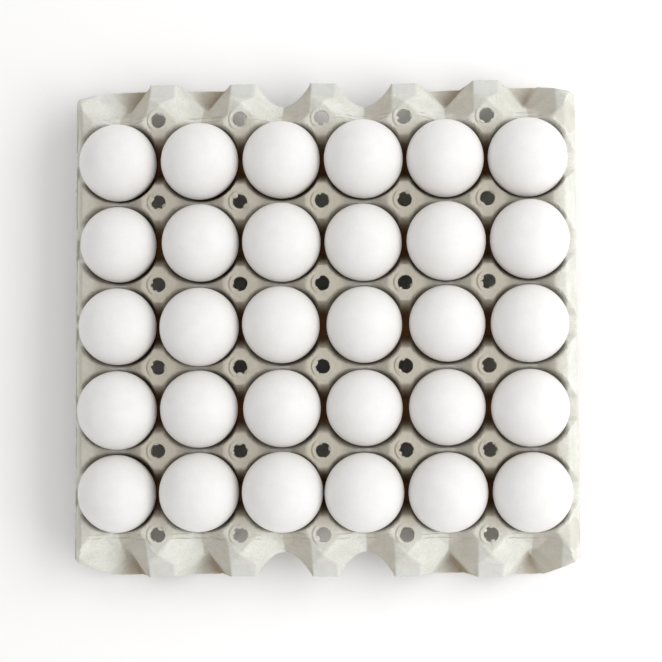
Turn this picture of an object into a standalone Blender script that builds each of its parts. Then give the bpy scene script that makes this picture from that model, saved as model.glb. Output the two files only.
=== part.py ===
"""Moulded-pulp egg tray, five rows of six cups, holding thirty white hen's eggs.

Units are metres, +Z is up.  X runs along the six columns, Y along the five rows.  The origin is
the centre of the tray on the surface it stands on.

The tray is one thin sheet of pulp.  Its upper face is a height worked out at every point of the
plan from four simple forms: round cups, hollow posts at the cup corners, the saddles that join
the posts, and the ribbed aprons along the two long sides.  Its under face lies one pulp thickness
below.  Each egg is a turned profile, sunk into its cup until its shell meets the pulp.
"""

import math
import random

import bpy
from mathutils import Euler, Vector
from mathutils.geometry import delaunay_2d_cdt

MM = 0.001

# Cup lattice
COLUMNS = 6
ROWS = 5
PITCH_X = 48.0 * MM
PITCH_Y = 48.4 * MM

# Pulp sheet
PULP_THICKNESS = 2.2 * MM
ROUNDING = 2.4 * MM
TRAY_HALF_X = 148.3 * MM
TRAY_HALF_Y = 145.4 * MM

# Cups
FOOT_RADIUS = 9.0 * MM
WALL_SLOPE = 1.37
WALL_CURVE = 41.5
WALL_RING_RADII = (15.5 * MM, 21.0 * MM)
FOOT_SIDES = 8
WALL_RING_SIDES = (8, 12)

# Posts and the saddles between them
POST_HEIGHT = 42.0 * MM
POST_HOLE_RADIUS = 4.0 * MM
POST_HOLE_SIDES = 8
POST_SHOULDER = 5.2 * MM
ROW_SADDLE_HEIGHT = 32.5 * MM
ROW_SADDLE_START = 7.0 * MM
ROW_SADDLE_END = 19.0 * MM
COLUMN_SADDLE_HEIGHT = 22.0 * MM
COLUMN_SADDLE_START = 6.0 * MM
COLUMN_SADDLE_END = 16.0 * MM

# Side walls, along the five-cup sides: from the rim of the half posts down to a narrow lip
RIM_X = 141.3 * MM
LIP_HEIGHT = 22.0 * MM
SIDE_WALL_SLOPE = (POST_HEIGHT - LIP_HEIGHT) / (TRAY_HALF_X - RIM_X)

# Aprons, along the six-cup sides; depths are measured outwards from the outermost post row
OUTER_POSTS_Y = PITCH_Y * ROWS / 2
APRON_DEPTH = TRAY_HALF_Y - OUTER_POSTS_Y
CREST_END = 6.0 * MM
CREST_HALF_WIDTH = 2.5 * MM
PAD_START = 17.0 * MM
PAD_HEIGHT = 21.0 * MM
PAD_HALF_WIDTH = 8.0 * MM
VALLEY_START = 11.0 * MM
VALLEY_HEIGHT = 15.0 * MM
GULLY_APEX = 12.3 * MM
GULLY_FLOOR_HEIGHT = 4.5 * MM
GULLY_HALF_WIDTH = 7.2 * MM
GULLY_WALL_SLOPE = 3.6
GULLY_BRIM = 4.2 * MM
CHAMFER_X = 20.5 * MM
CHAMFER_Y = 10.5 * MM
CHAMFER_STEPS = 3

# Finger notches, at the two middle columns of each apron
NOTCH_COLUMNS = (2, 3)
NOTCH_APEX = 11.0 * MM
NOTCH_MOUTH_HALF_WIDTH = PITCH_X / 2 - PAD_HALF_WIDTH
NOTCH_THROAT_HALF_WIDTH = 9.0 * MM
NOTCH_STEPS = 4

# Eggs: widest radius and length of each grade, and the grade of each egg, back row first
EGG_GRADES = {
    "s": (22.10 * MM, 57.0 * MM),
    "m": (22.50 * MM, 58.0 * MM),
    "l": (22.95 * MM, 59.0 * MM),
    "x": (23.40 * MM, 60.0 * MM),
}
EGG_ROWS = ("mmmlml", "smlmll", "mlmssm", "lmmssm", "mlxlll")
EGG_TAPER = 0.16
EGG_SIDES = 12
EGG_BANDS_ABOVE = 3
EGG_BANDS_BELOW = 2
EGG_LEAN = math.radians(3.0)
EGG_WANDER = 0.45 * MM
EGG_STRETCH = 0.015
EGG_SEED = 30
SEAT_GAP = 1.1 * MM
SEAT_SAMPLES = 24

PULP_COLOUR = (0.50, 0.48, 0.40, 1.0)
SHELL_COLOUR = (0.86, 0.84, 0.80, 1.0)


# ---------------------------------------------------------------- numbers

def ease(value, start, end):
    """0 before start, 1 after end, and a smooth S between them."""
    t = min(1.0, max(0.0, (value - start) / (end - start)))
    return t * t * (3.0 - 2.0 * t)


def ramp(value, start, end):
    """0 before start, 1 after end, and a straight line between them."""
    return min(1.0, max(0.0, (value - start) / (end - start)))


def soft_min(a, b, radius):
    """The lower of two heights, with the crease between them rounded."""
    h = max(radius - abs(a - b), 0.0) / radius
    return min(a, b) - h * h * radius * 0.25


def cup_centre(column, row):
    """Plan position of a cup; row 0 is the back row."""
    return ((column - (COLUMNS - 1) / 2) * PITCH_X, ((ROWS - 1) / 2 - row) * PITCH_Y)


def lattice_offset(value, pitch, cups):
    """Distance along one axis to the nearest post line, and to the nearest cup line."""
    steps = value / pitch - cups / 2
    to_post = abs(steps - round(steps)) * pitch
    return to_post, pitch / 2 - to_post


# ---------------------------------------------------------------- tray heights

def cup_height(radius):
    """Height of a cup's inner face at a distance from the cup's axis."""
    out = max(0.0, radius - FOOT_RADIUS)
    return PULP_THICKNESS + WALL_SLOPE * out + WALL_CURVE * out * out


def saddle_height(from_post_x, from_post_y):
    """Highest the sheet may be at a distance from a post: flat on it, then down to the saddles."""
    row = ease(from_post_x, ROW_SADDLE_START, ROW_SADDLE_END)
    column = ease(from_post_y, COLUMN_SADDLE_START, COLUMN_SADDLE_END)
    along_row = POST_HEIGHT + (ROW_SADDLE_HEIGHT - POST_HEIGHT) * row
    along_column = POST_HEIGHT + (COLUMN_SADDLE_HEIGHT - POST_HEIGHT) * column
    return min(along_row, along_column)


def apron_height(from_post_x, depth):
    """Height of an apron's ribs: a crest out to a flat pad, and flanks down between the ribs."""
    out = ramp(depth, CREST_END, PAD_START)
    crest = POST_HEIGHT + (PAD_HEIGHT - POST_HEIGHT) * out
    down = ramp(depth, 0.0, VALLEY_START)
    valley = ROW_SADDLE_HEIGHT + (VALLEY_HEIGHT - ROW_SADDLE_HEIGHT) * down
    narrow = ramp(depth, 0.0, CREST_END)
    start = ROW_SADDLE_START + (CREST_HALF_WIDTH - ROW_SADDLE_START) * narrow
    start += (PAD_HALF_WIDTH - CREST_HALF_WIDTH) * out
    end = ROW_SADDLE_END + (PITCH_X / 2 - ROW_SADDLE_END) * down
    return crest + (valley - crest) * ease(from_post_x, start, end)


def gully_height(from_cup_x, depth):
    """Height of the gully between two ribs: a flat three-cornered floor and steep walls."""
    half_width = GULLY_HALF_WIDTH * ramp(depth, GULLY_APEX, APRON_DEPTH)
    across = max(0.0, from_cup_x - half_width)
    inward = max(0.0, GULLY_APEX - depth)
    return GULLY_FLOOR_HEIGHT + GULLY_WALL_SLOPE * math.hypot(across, inward)


def is_notch(x):
    """Whether a plan position lies at one of the finger-notch columns."""
    column = round(x / PITCH_X + (COLUMNS - 1) / 2)
    return column in NOTCH_COLUMNS


def upper_height(x, y):
    """Height of the tray's upper face."""
    from_post_x, from_cup_x = lattice_offset(x, PITCH_X, COLUMNS)
    from_post_y, from_cup_y = lattice_offset(y, PITCH_Y, ROWS)
    depth = abs(y) - OUTER_POSTS_Y
    if depth > 0.0:
        from_cup_y = PITCH_Y / 2 + depth
        sheet = apron_height(from_post_x, depth)
        if not is_notch(x):
            sheet = soft_min(sheet, gully_height(from_cup_x, depth), ROUNDING / 2)
    else:
        sheet = saddle_height(from_post_x, from_post_y)
    sheet = soft_min(sheet, cup_height(math.hypot(from_cup_x, from_cup_y)), ROUNDING)
    side_wall = LIP_HEIGHT + SIDE_WALL_SLOPE * max(0.0, TRAY_HALF_X - abs(x))
    return max(PULP_THICKNESS, soft_min(sheet, side_wall, ROUNDING))


def under_height(x, y):
    """Height of the under face: a ball of the pulp's thickness rolled below the upper face."""
    lowest = upper_height(x, y) - PULP_THICKNESS
    for share in (0.5, 0.9):
        reach = PULP_THICKNESS * share
        drop = math.sqrt(PULP_THICKNESS ** 2 - reach ** 2)
        for step in range(8):
            angle = math.tau * step / 8
            height = upper_height(x + reach * math.cos(angle), y + reach * math.sin(angle))
            lowest = min(lowest, height - drop)
    return max(0.0, lowest)


# ---------------------------------------------------------------- tray plan

class Plan:
    """Plan points of the tray sheet, with the edges that its triangles have to follow."""

    def __init__(self):
        self.places = []
        self.sampled = []
        self.edges = []
        self.outlines = []

    def point(self, x, y, sample=None):
        """Add a point; its heights are read at sample where that is given."""
        self.places.append((x, y))
        self.sampled.append(sample or (x, y))
        return len(self.places) - 1

    def loop(self, points, keep_out=False):
        """Join points into a closed loop; keep_out marks the loop as a hole."""
        for k, index in enumerate(points):
            self.edges.append((index, points[(k + 1) % len(points)]))
        if keep_out:
            self.outlines.append([self.places[index] for index in points])

    def ring(self, centre, radius, sides, turn=0.0, keep_out=False):
        """Add a ring of points whose sides touch a circle, so that it never cuts inside it."""
        corner = radius / math.cos(math.pi / sides)
        points = []
        for k in range(sides):
            angle = math.tau * k / sides + turn
            way = Vector((math.cos(angle), math.sin(angle)))
            place = Vector(centre) + way * corner
            sample = Vector(centre) + way * radius
            points.append(self.point(place.x, place.y, tuple(sample)))
        self.loop(points, keep_out)


def notch_curve():
    """A finger notch in plan, between the corners of its mouth, as offsets and depths."""
    half = []
    for k in range(1, NOTCH_STEPS + 1):
        angle = math.pi / 2 * k / NOTCH_STEPS
        inward = 1.0 - math.sin(angle)
        flare = (NOTCH_MOUTH_HALF_WIDTH - NOTCH_THROAT_HALF_WIDTH) * inward ** 2
        offset = NOTCH_THROAT_HALF_WIDTH * math.cos(angle) + flare
        half.append((offset, NOTCH_APEX + (APRON_DEPTH - NOTCH_APEX) * inward))
    return half + [(-offset, depth) for offset, depth in reversed(half[:-1])]


def quarter_outline():
    """The tray's outline in plan from the +X side round to the +Y side."""
    brim = GULLY_HALF_WIDTH + GULLY_BRIM
    points = [(TRAY_HALF_X, k * PITCH_Y / 2) for k in range(ROWS + 1)]
    for k in range(CHAMFER_STEPS + 1):
        share = k / CHAMFER_STEPS
        points.append((TRAY_HALF_X - share * CHAMFER_X, TRAY_HALF_Y - (1.0 - share) * CHAMFER_Y))
    for column in range(COLUMNS - 1, COLUMNS // 2 - 1, -1):
        centre = cup_centre(column, 0)[0]
        if column in NOTCH_COLUMNS:
            points += [(centre + offset, OUTER_POSTS_Y + depth) for offset, depth in notch_curve()]
        else:
            points += [(centre + offset, TRAY_HALF_Y)
                       for offset in (brim, GULLY_HALF_WIDTH, -GULLY_HALF_WIDTH, -brim)
                       if centre + offset < TRAY_HALF_X - CHAMFER_X]
        post = centre - PITCH_X / 2
        ends = (PAD_HALF_WIDTH, -PAD_HALF_WIDTH) if post > 0.0 else (PAD_HALF_WIDTH,)
        points += [(post + offset, TRAY_HALF_Y) for offset in ends]
    return points


def tray_outline():
    """The tray's whole outline, from its four mirrored quarters."""
    quarter = quarter_outline()
    half = quarter + [(-x, y) for x, y in reversed(quarter)]
    return half + [(-x, -y) for x, y in half[1:-1]]


def add_cup_points(plan):
    """The foot and the wall rings of every cup."""
    for row in range(ROWS):
        for column in range(COLUMNS):
            centre = cup_centre(column, row)
            plan.ring(centre, FOOT_RADIUS, FOOT_SIDES, math.pi / FOOT_SIDES)
            for radius, sides in zip(WALL_RING_RADII, WALL_RING_SIDES):
                plan.ring(centre, radius, sides)


def add_post_points(plan):
    """The hole and the shoulders of every post, and the middle of every saddle."""
    for line in range(ROWS + 1):
        y = (line - ROWS / 2) * PITCH_Y
        for post in range(COLUMNS + 1):
            x = (post - COLUMNS / 2) * PITCH_X
            if abs(x) < RIM_X:
                plan.ring((x, y), POST_HOLE_RADIUS, POST_HOLE_SIDES,
                          math.pi / POST_HOLE_SIDES, keep_out=True)
            else:
                x = math.copysign(RIM_X, x)
                plan.point(x, y)
            spots = [(side * POST_SHOULDER, other * POST_SHOULDER)
                     for side in (-1, 1) for other in (-1, 1)]
            spots += [(side * ROW_SADDLE_START, 0.0) for side in (-1, 1)]
            spots += [(0.0, side * COLUMN_SADDLE_START) for side in (-1, 1)]
            if abs(x) == RIM_X:
                spots += [(0.0, side * COLUMN_SADDLE_END) for side in (-1, 1)]
            for across, along in spots:
                if abs(x + across) < RIM_X + MM and abs(y + along) < OUTER_POSTS_Y + MM:
                    plan.point(x + across, y + along)
            if post < COLUMNS:
                plan.point((post - (COLUMNS - 1) / 2) * PITCH_X, y)
            if line < ROWS:
                plan.point(x, y + PITCH_Y / 2)


def add_apron_points(plan):
    """The crests, pads and gullies of both aprons."""
    for end in (-1, 1):
        def spot(x, depth):
            return plan.point(x, end * (OUTER_POSTS_Y + depth))

        for post in range(COLUMNS + 1):
            x = (post - COLUMNS / 2) * PITCH_X
            for side in (-1, 1):
                column = x + side * PITCH_X / 2
                if abs(column) > TRAY_HALF_X:
                    continue
                crest = spot(x + side * CREST_HALF_WIDTH, CREST_END)
                inner = spot(x + side * PAD_HALF_WIDTH, PAD_START)
                outer = spot(x + side * PAD_HALF_WIDTH, APRON_DEPTH)
                spot(x + side * PAD_HALF_WIDTH, CREST_END)
                spot(column, VALLEY_START / 2)
                plan.edges += [(crest, inner), (inner, outer)]
                if not is_notch(column):
                    for brim in (0.0, GULLY_BRIM):
                        apex = spot(column, GULLY_APEX - brim)
                        corner = spot(column - side * (GULLY_HALF_WIDTH + brim), APRON_DEPTH)
                        plan.edges.append((apex, corner))


def tray_plan():
    """The whole plan of the tray: outline, cup rings, post holes and crease points."""
    plan = Plan()
    outline = tray_outline()
    plan.loop([plan.point(x, y) for x, y in outline])
    add_cup_points(plan)
    add_post_points(plan)
    add_apron_points(plan)
    return plan, outline


def encloses(outline, x, y):
    """Whether a closed outline goes round a plan position."""
    inside = False
    previous = outline[-1]
    for current in outline:
        if (current[1] > y) != (previous[1] > y):
            share = (y - current[1]) / (previous[1] - current[1])
            if x < current[0] + share * (previous[0] - current[0]):
                inside = not inside
        previous = current
    return inside


# ---------------------------------------------------------------- meshes

def sheet_solid(plan, outline):
    """Vertices and faces of the tray: upper face, under face and the walls that join them."""
    places = [Vector(place) for place in plan.places]
    result = delaunay_2d_cdt(places, plan.edges, [], 0, 1e-7)
    flat, faces, sources = result[0], result[2], result[3]
    heights = [plan.sampled[source[0]] if source else tuple(flat[k])
               for k, source in enumerate(sources)]
    kept = []
    for face in faces:
        x = sum(flat[k].x for k in face) / 3
        y = sum(flat[k].y for k in face) / 3
        if encloses(outline, x, y) and not any(encloses(hole, x, y) for hole in plan.outlines):
            kept.append(tuple(face))
    used = sorted({k for face in kept for k in face})
    order = {k: position for position, k in enumerate(used)}
    count = len(used)
    upper = [(flat[k].x, flat[k].y, upper_height(*heights[k])) for k in used]
    under = [(flat[k].x, flat[k].y, under_height(*heights[k])) for k in used]
    top = [tuple(order[k] for k in face) for face in kept]
    directed = {(face[k], face[(k + 1) % 3]) for face in top for k in range(3)}
    bottom = [tuple(index + count for index in reversed(face)) for face in top]
    walls = [(b, a, a + count, b + count) for a, b in directed if (b, a) not in directed]
    return upper + under, top + bottom + sorted(walls)


def egg_radius(turn, radius):
    """Radius of an egg at an angle down from its blunt end."""
    return radius * math.sin(turn) * (1.0 + EGG_TAPER * math.cos(turn)) / egg_swell()


def egg_widest():
    """Angle down from the blunt end at which an egg is widest."""
    t = EGG_TAPER
    return math.acos((math.sqrt(1.0 + 8.0 * t * t) - 1.0) / (4.0 * t))


def egg_swell():
    """How much the taper alone would widen an egg."""
    turn = egg_widest()
    return math.sin(turn) * (1.0 + EGG_TAPER * math.cos(turn))


def egg_points(egg, bands_above, bands_below, sides):
    """Rings of points on an egg's shell, blunt end up, about the middle of its length."""
    rings = []
    widest = egg_widest()
    turns = [widest * band / bands_above for band in range(bands_above)]
    turns += [widest + (math.pi - widest) * band / bands_below for band in range(bands_below + 1)]
    for turn in turns:
        radius = egg_radius(turn, egg["radius"])
        height = math.cos(turn) * egg["length"] / 2
        ring = []
        for side in range(sides):
            angle = math.tau * side / sides
            ring.append(Vector((radius * math.cos(angle) * (1.0 + egg["stretch"]),
                                radius * math.sin(angle) * (1.0 - egg["stretch"]), height)))
        rings.append(ring)
    return rings


def seat(egg):
    """Height of an egg's middle at which its shell just clears the cup around it."""
    lift = 0.0
    for ring in egg_points(egg, SEAT_SAMPLES, SEAT_SAMPLES, SEAT_SAMPLES):
        for point in ring:
            turned = egg["turn"] @ point
            floor = upper_height(egg["x"] + turned.x, egg["y"] + turned.y)
            lift = max(lift, floor + SEAT_GAP - turned.z)
    return lift


def egg_list():
    """Every egg of the tray, row by row from the back: its size, its lean and where it sits."""
    chance = random.Random(EGG_SEED)
    eggs = []
    for row, grades in enumerate(EGG_ROWS):
        for column, grade in enumerate(grades):
            radius, length = EGG_GRADES[grade]
            x, y = cup_centre(column, row)
            egg = {
                "name": f"egg_r{row + 1}_c{column + 1}",
                "radius": radius,
                "length": length * chance.uniform(0.985, 1.015),
                "stretch": chance.uniform(-EGG_STRETCH, EGG_STRETCH) / 2,
                "x": x + chance.uniform(-EGG_WANDER, EGG_WANDER),
                "y": y + chance.uniform(-EGG_WANDER, EGG_WANDER),
                "turn": Euler((chance.uniform(-EGG_LEAN, EGG_LEAN),
                               chance.uniform(-EGG_LEAN, EGG_LEAN),
                               chance.uniform(0.0, math.tau))).to_matrix(),
            }
            egg["z"] = seat(egg)
            eggs.append(egg)
    return eggs


def egg_solid(egg):
    """Vertices and faces of one egg, with a single point at each end."""
    rings = egg_points(egg, EGG_BANDS_ABOVE, EGG_BANDS_BELOW, EGG_SIDES)
    vertices = [rings[0][0]]
    for ring in rings[1:-1]:
        vertices.extend(ring)
    vertices.append(rings[-1][0])
    last = len(vertices) - 1
    bands_between = len(rings) - 3
    bottom = 1 + bands_between * EGG_SIDES
    faces = []
    for side in range(EGG_SIDES):
        after = (side + 1) % EGG_SIDES
        faces.append((0, 1 + side, 1 + after))
        faces.append((last, bottom + after, bottom + side))
        for band in range(bands_between):
            here = 1 + band * EGG_SIDES
            below = here + EGG_SIDES
            faces.append((here + side, below + side, below + after, here + after))
    return [egg["turn"] @ vertex for vertex in vertices], faces


# ---------------------------------------------------------------- scene

def clear_scene():
    """Remove every object that the scene starts with."""
    for thing in list(bpy.data.objects):
        bpy.data.objects.remove(thing)


def make_material(name, colour, roughness):
    """A plain Principled material."""
    material = bpy.data.materials.new(name)
    material.use_nodes = True
    shader = material.node_tree.nodes["Principled BSDF"]
    shader.inputs["Base Color"].default_value = colour
    shader.inputs["Roughness"].default_value = roughness
    shader.inputs["Metallic"].default_value = 0.0
    return material


def make_object(name, vertices, faces, material, smooth_angle):
    """A mesh object from vertices and faces, shaded smooth up to an angle."""
    mesh = bpy.data.meshes.new(name)
    mesh.from_pydata([tuple(vertex) for vertex in vertices], [], faces)
    mesh.materials.append(material)
    mesh.shade_smooth()
    mesh.set_sharp_from_angle(angle=smooth_angle)
    thing = bpy.data.objects.new(name, mesh)
    bpy.context.collection.objects.link(thing)
    return thing


def build_tray(pulp):
    """The pulp tray, one closed sheet."""
    plan, outline = tray_plan()
    vertices, faces = sheet_solid(plan, outline)
    return make_object("tray", vertices, faces, pulp, math.radians(40.0))


def build_eggs(shell):
    """The thirty eggs, each in its own cup."""
    for egg in egg_list():
        vertices, faces = egg_solid(egg)
        thing = make_object(egg["name"], vertices, faces, shell, math.radians(60.0))
        thing.location = (egg["x"], egg["y"], egg["z"])


def main():
    """Build the tray and its eggs."""
    clear_scene()
    build_tray(make_material("pulp", PULP_COLOUR, 0.92))
    build_eggs(make_material("shell", SHELL_COLOUR, 0.42))


main()
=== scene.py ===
"""Looks of a moulded-pulp egg tray and of the thirty white hen's eggs that stand in it.

Units are metres, +Z up.  X runs along the six columns of cups, Y along the five rows, and the
origin is the centre of the tray on the surface it stands on.

The tray is one sheet of pulp with two faces, each triangulated on its own plan: fine where the
sheet shows and coarse where an egg hides it.  The eggs, the pulp crumbs and the torn flaps in the
post holes are grown by Geometry Nodes.
"""

import logging
import math
import random
from dataclasses import dataclass
from enum import Enum
from typing import Any

import bpy
import numpy as np
from mathutils import Euler, Matrix, Vector
from mathutils.geometry import delaunay_2d_cdt


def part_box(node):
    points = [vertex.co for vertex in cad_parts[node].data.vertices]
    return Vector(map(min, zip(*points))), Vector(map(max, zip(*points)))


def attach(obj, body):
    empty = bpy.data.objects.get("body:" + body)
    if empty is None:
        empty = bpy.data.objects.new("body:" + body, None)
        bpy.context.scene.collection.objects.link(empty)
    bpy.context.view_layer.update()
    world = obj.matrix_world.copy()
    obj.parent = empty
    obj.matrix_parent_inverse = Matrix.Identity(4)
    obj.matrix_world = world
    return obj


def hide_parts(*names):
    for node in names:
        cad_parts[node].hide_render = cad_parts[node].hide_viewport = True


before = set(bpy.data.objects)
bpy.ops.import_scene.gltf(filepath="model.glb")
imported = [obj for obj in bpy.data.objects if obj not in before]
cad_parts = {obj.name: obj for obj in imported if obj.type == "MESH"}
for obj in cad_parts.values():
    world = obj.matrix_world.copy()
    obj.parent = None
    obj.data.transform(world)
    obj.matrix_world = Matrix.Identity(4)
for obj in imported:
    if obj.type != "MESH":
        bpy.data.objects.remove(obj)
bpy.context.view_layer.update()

LOG = logging.getLogger("egg_tray")
MM = 0.001
TURN = 2.0 * math.pi
BODY = "root"
Array = np.ndarray
Colour = tuple[float, float, float, float]
Span = tuple[float, float]


# ---------------------------------------------------------------- numbers

def ramp(value: Array, start: float, end: float) -> Array:
    """0 before start, 1 after end, and a straight line between them."""
    return np.clip((value - start) / (end - start), 0.0, 1.0)


def fall(value: Array, start: float, end: float) -> Array:
    """1 before start, 0 after end, and a straight line between them."""
    return ramp(-value, -end, -start)


def mix(a: Array, b: Array, share: Array) -> Array:
    """A blend of a and b: all a at share 0, all b at share 1."""
    return a + (b - a) * share


def bell(distance: Array, width: float) -> Array:
    """1 at no distance, falling smoothly to nothing over a few widths."""
    return np.exp(-(distance / width) ** 2)


def soft_min(a: Array, b: Array, radius: float) -> Array:
    """The lower of two heights, with the crease between them rounded."""
    h = np.maximum(radius - np.abs(a - b), 0.0) / radius
    return np.minimum(a, b) - h * h * radius * 0.25


def soft_max(a: Array, b: Array, radius: float) -> Array:
    """The higher of two heights, with the crease between them rounded."""
    return -soft_min(-a, -b, radius)


@dataclass(frozen=True)
class Ripple:
    """A smooth uneven field over the plan: a sum of seeded waves in many directions.

    Its wavelengths lie between the shortest and the longest. The calm is what the waves' sum is
    divided by, in units of its usual height.
    """

    seed: int
    shortest: float
    longest: float
    waves: int = 14
    calm: float = 1.6

    def at(self, x: Array, y: Array) -> Array:
        """The field's value, mostly between -1 and 1.

        Args:
            x: Plan positions along X.
            y: Plan positions along Y.

        Returns:
            One value for each position.
        """
        chance = np.random.default_rng(self.seed)
        total = np.zeros_like(x)
        for _ in range(self.waves):
            heading, phase = chance.uniform(0.0, TURN, 2)
            length = self.shortest * (self.longest / self.shortest) ** chance.uniform()
            along = x * math.cos(heading) + y * math.sin(heading)
            total += np.cos(along * TURN / length + phase)
        return total * math.sqrt(2.0 / self.waves) / self.calm


# ---------------------------------------------------------------- the sheet's form

@dataclass(frozen=True)
class TrayForm:
    """Sizes of the pulp sheet, and its height at any plan position.

    Heights are those of the upper face. A depth is a distance outwards from the outermost row of
    posts, where the aprons at the back and the front begin. The gullies' shifts and the insets of
    their mouths are given column by column from the -X end.
    """

    columns: int = 6
    rows: int = 5
    pitch_x: float = 48.0 * MM
    pitch_y: float = 48.4 * MM
    thickness: float = 2.2 * MM
    rounding: float = 1.5 * MM
    fold: float = 0.9 * MM
    half_x: float = 148.3 * MM
    half_y: float = 145.4 * MM
    ball_rings: Span = (0.5, 0.9)
    ball_steps: int = 8
    slope_step: float = 0.4 * MM

    foot_radius: float = 9.0 * MM
    wall_slope: float = 1.37
    wall_curve: float = 41.5
    collar_radius: float = 21.2 * MM
    collar_curve: float = 420.0

    post_height: float = 42.0 * MM
    hole_radius: float = 4.5 * MM
    plateau: float = 9.7 * MM
    row_saddle: float = 32.5 * MM
    column_saddle: float = 22.0 * MM
    column_start: float = 10.6 * MM
    column_fall: float = 2.6
    column_folds: float = 3.0

    rim_x: float = 141.3 * MM
    lip_height: float = 22.0 * MM

    facet_slope: float = 0.92
    ridge_width: float = 2.5 * MM
    ridge_fall: float = 2.6
    pad_start: float = 16.0 * MM
    pad_height: float = 29.0 * MM
    pad_slope: float = 0.54
    pad_half_width: float = 7.6 * MM
    pad_side: float = 2.7
    gully_head: float = 7.4 * MM
    gully_floor: float = 4.2 * MM
    gully_wall: float = 2.0
    gully_half_width: float = 8.8 * MM
    gully_shifts: tuple[float, ...] = (5.6 * MM, 3.0 * MM, 0.0, 0.0, 0.4 * MM, -2.2 * MM)
    head_fold: float = 0.01
    fold_growth: float = 4.0
    back_insets: tuple[float, ...] = (0.0, 0.0, 0.0, 0.0, 1.5 * MM, 0.8 * MM)
    front_insets: tuple[float, ...] = (0.2 * MM, 0.6 * MM, 0.0, 0.0, 0.9 * MM, 0.6 * MM)
    front_reach: float = 0.9 * MM
    front_draw: float = 2.0 * MM
    draw_span: Span = (2.0 * MM, 9.0 * MM)
    corner_slope: float = 1.2
    corner_height: float = 20.0 * MM
    chamfer_x: float = 20.5 * MM
    chamfer_y: float = 10.0 * MM
    bow: float = 1.5 * MM
    bow_place: float = 38.0 * MM
    bow_reach: float = 34.0 * MM

    notch_columns: tuple[int, ...] = (2, 3)
    notch_apex: float = 11.0 * MM
    notch_throat: float = 12.3 * MM
    notch_steps: int = 14

    @property
    def outer_posts_y(self) -> float:
        """Distance of the outermost post rows from the middle."""
        return self.pitch_y * self.rows / 2

    @property
    def outer_cups_x(self) -> float:
        """Distance of the outermost columns of cups from the middle."""
        return self.pitch_x * (self.columns - 1) / 2

    @property
    def apron_depth(self) -> float:
        """Reach of the aprons beyond the outermost post rows."""
        return self.half_y - self.outer_posts_y

    @property
    def notch_mouth(self) -> float:
        """Half the width of a finger notch where it opens."""
        return self.pitch_x / 2 - self.pad_half_width

    def depth_at(self, y: Array) -> Array:
        """Depth on an apron, drawn out a little at the front."""
        depth = np.abs(y) - self.outer_posts_y
        return depth - np.where(y < 0.0, self.front_draw, 0.0) * ramp(depth, *self.draw_span)

    def bowed(self, x: Array, y: Array) -> Array:
        """How far the back edge bows inwards."""
        return self.bow * bell(x - self.bow_place, self.bow_reach) * ramp(
            y, self.outer_posts_y, self.half_y)

    def cup(self, column: int, row: int) -> tuple[float, float]:
        """Plan position of a cup; row 0 is the back row."""
        x = (column - (self.columns - 1) / 2) * self.pitch_x
        return x, ((self.rows - 1) / 2 - row) * self.pitch_y

    def holes(self) -> list[tuple[float, float]]:
        """Plan positions of the post holes."""
        return [((post - self.columns / 2) * self.pitch_x, (line - self.rows / 2) * self.pitch_y)
                for line in range(self.rows + 1) for post in range(1, self.columns)]

    def past_post_x(self, x: Array) -> Array:
        """Signed distance along X from the nearest line of posts."""
        steps = x / self.pitch_x - self.columns / 2
        return (steps - np.round(steps)) * self.pitch_x

    def post_x(self, x: Array) -> Array:
        """Distance along X to the nearest line of posts."""
        return np.abs(self.past_post_x(x))

    def post_y(self, y: Array) -> Array:
        """Distance along Y to the nearest line of posts."""
        steps = y / self.pitch_y - self.rows / 2
        return np.abs(steps - np.round(steps)) * self.pitch_y

    def cup_radius(self, x: Array, y: Array) -> Array:
        """Distance in plan from the axis of the nearest cup."""
        return np.hypot(self.pitch_x / 2 - self.post_x(x), self.pitch_y / 2 - self.post_y(y))

    def column_at(self, x: Array) -> Array:
        """Number of the column of cups at each position along X."""
        column = np.round(x / self.pitch_x + (self.columns - 1) / 2)
        return np.clip(column, 0, self.columns - 1).astype(int)

    def past_cup_x(self, x: Array) -> Array:
        """Signed distance along X from the nearest column of cups."""
        return x - (self.column_at(x) - (self.columns - 1) / 2) * self.pitch_x

    def cup_height(self, radius: Array) -> Array:
        """Height of a cup at distances from its axis: a flat foot, a wall and a steep collar.

        Args:
            radius: Distances from the cup's axis.

        Returns:
            The height at each distance.
        """
        out = np.maximum(0.0, radius - self.foot_radius)
        collar = np.maximum(0.0, radius - self.collar_radius)
        wall = self.thickness + self.wall_slope * out + self.wall_curve * out * out
        return wall + self.collar_curve * collar * collar

    def saddle_height(self, post_x: Array, post_y: Array) -> Array:
        """Posts with flat diamond tops, and the saddles between them.

        Args:
            post_x: Distances from the nearest post along X.
            post_y: Distances from the nearest post along Y.

        Returns:
            The height at each position.
        """
        along_row = self.post_height - self.facet_slope * np.maximum(0.0, post_x - self.plateau)
        drop = self.column_fall * np.maximum(0.0, post_y - self.column_start)
        return np.minimum(soft_max(along_row, self.row_saddle, self.fold),
                          soft_max(self.post_height - drop, self.column_saddle,
                                   self.column_folds * self.fold))

    def gully_place(self, x: Array, depth: Array) -> tuple[Array, Array, Array]:
        """Where each position lies in the gully of its column of cups.

        Args:
            x: Plan positions along X.
            depth: Depths on the apron.

        Returns:
            Distances along X inside the gully's left and right rims, negative outside it and in
            the columns that have a notch instead, and how far the gully has opened.
        """
        column = self.column_at(x)
        across = self.past_cup_x(x)
        shift = np.array(self.gully_shifts)[column]
        opened = ramp(depth, self.gully_head, self.apron_depth)
        shut = np.isin(column, self.notch_columns) * 1.0
        left = across - mix(shift, -self.notch_mouth, opened) - shut
        right = mix(shift, self.notch_mouth, opened) - across - shut
        return left, right, opened

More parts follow.
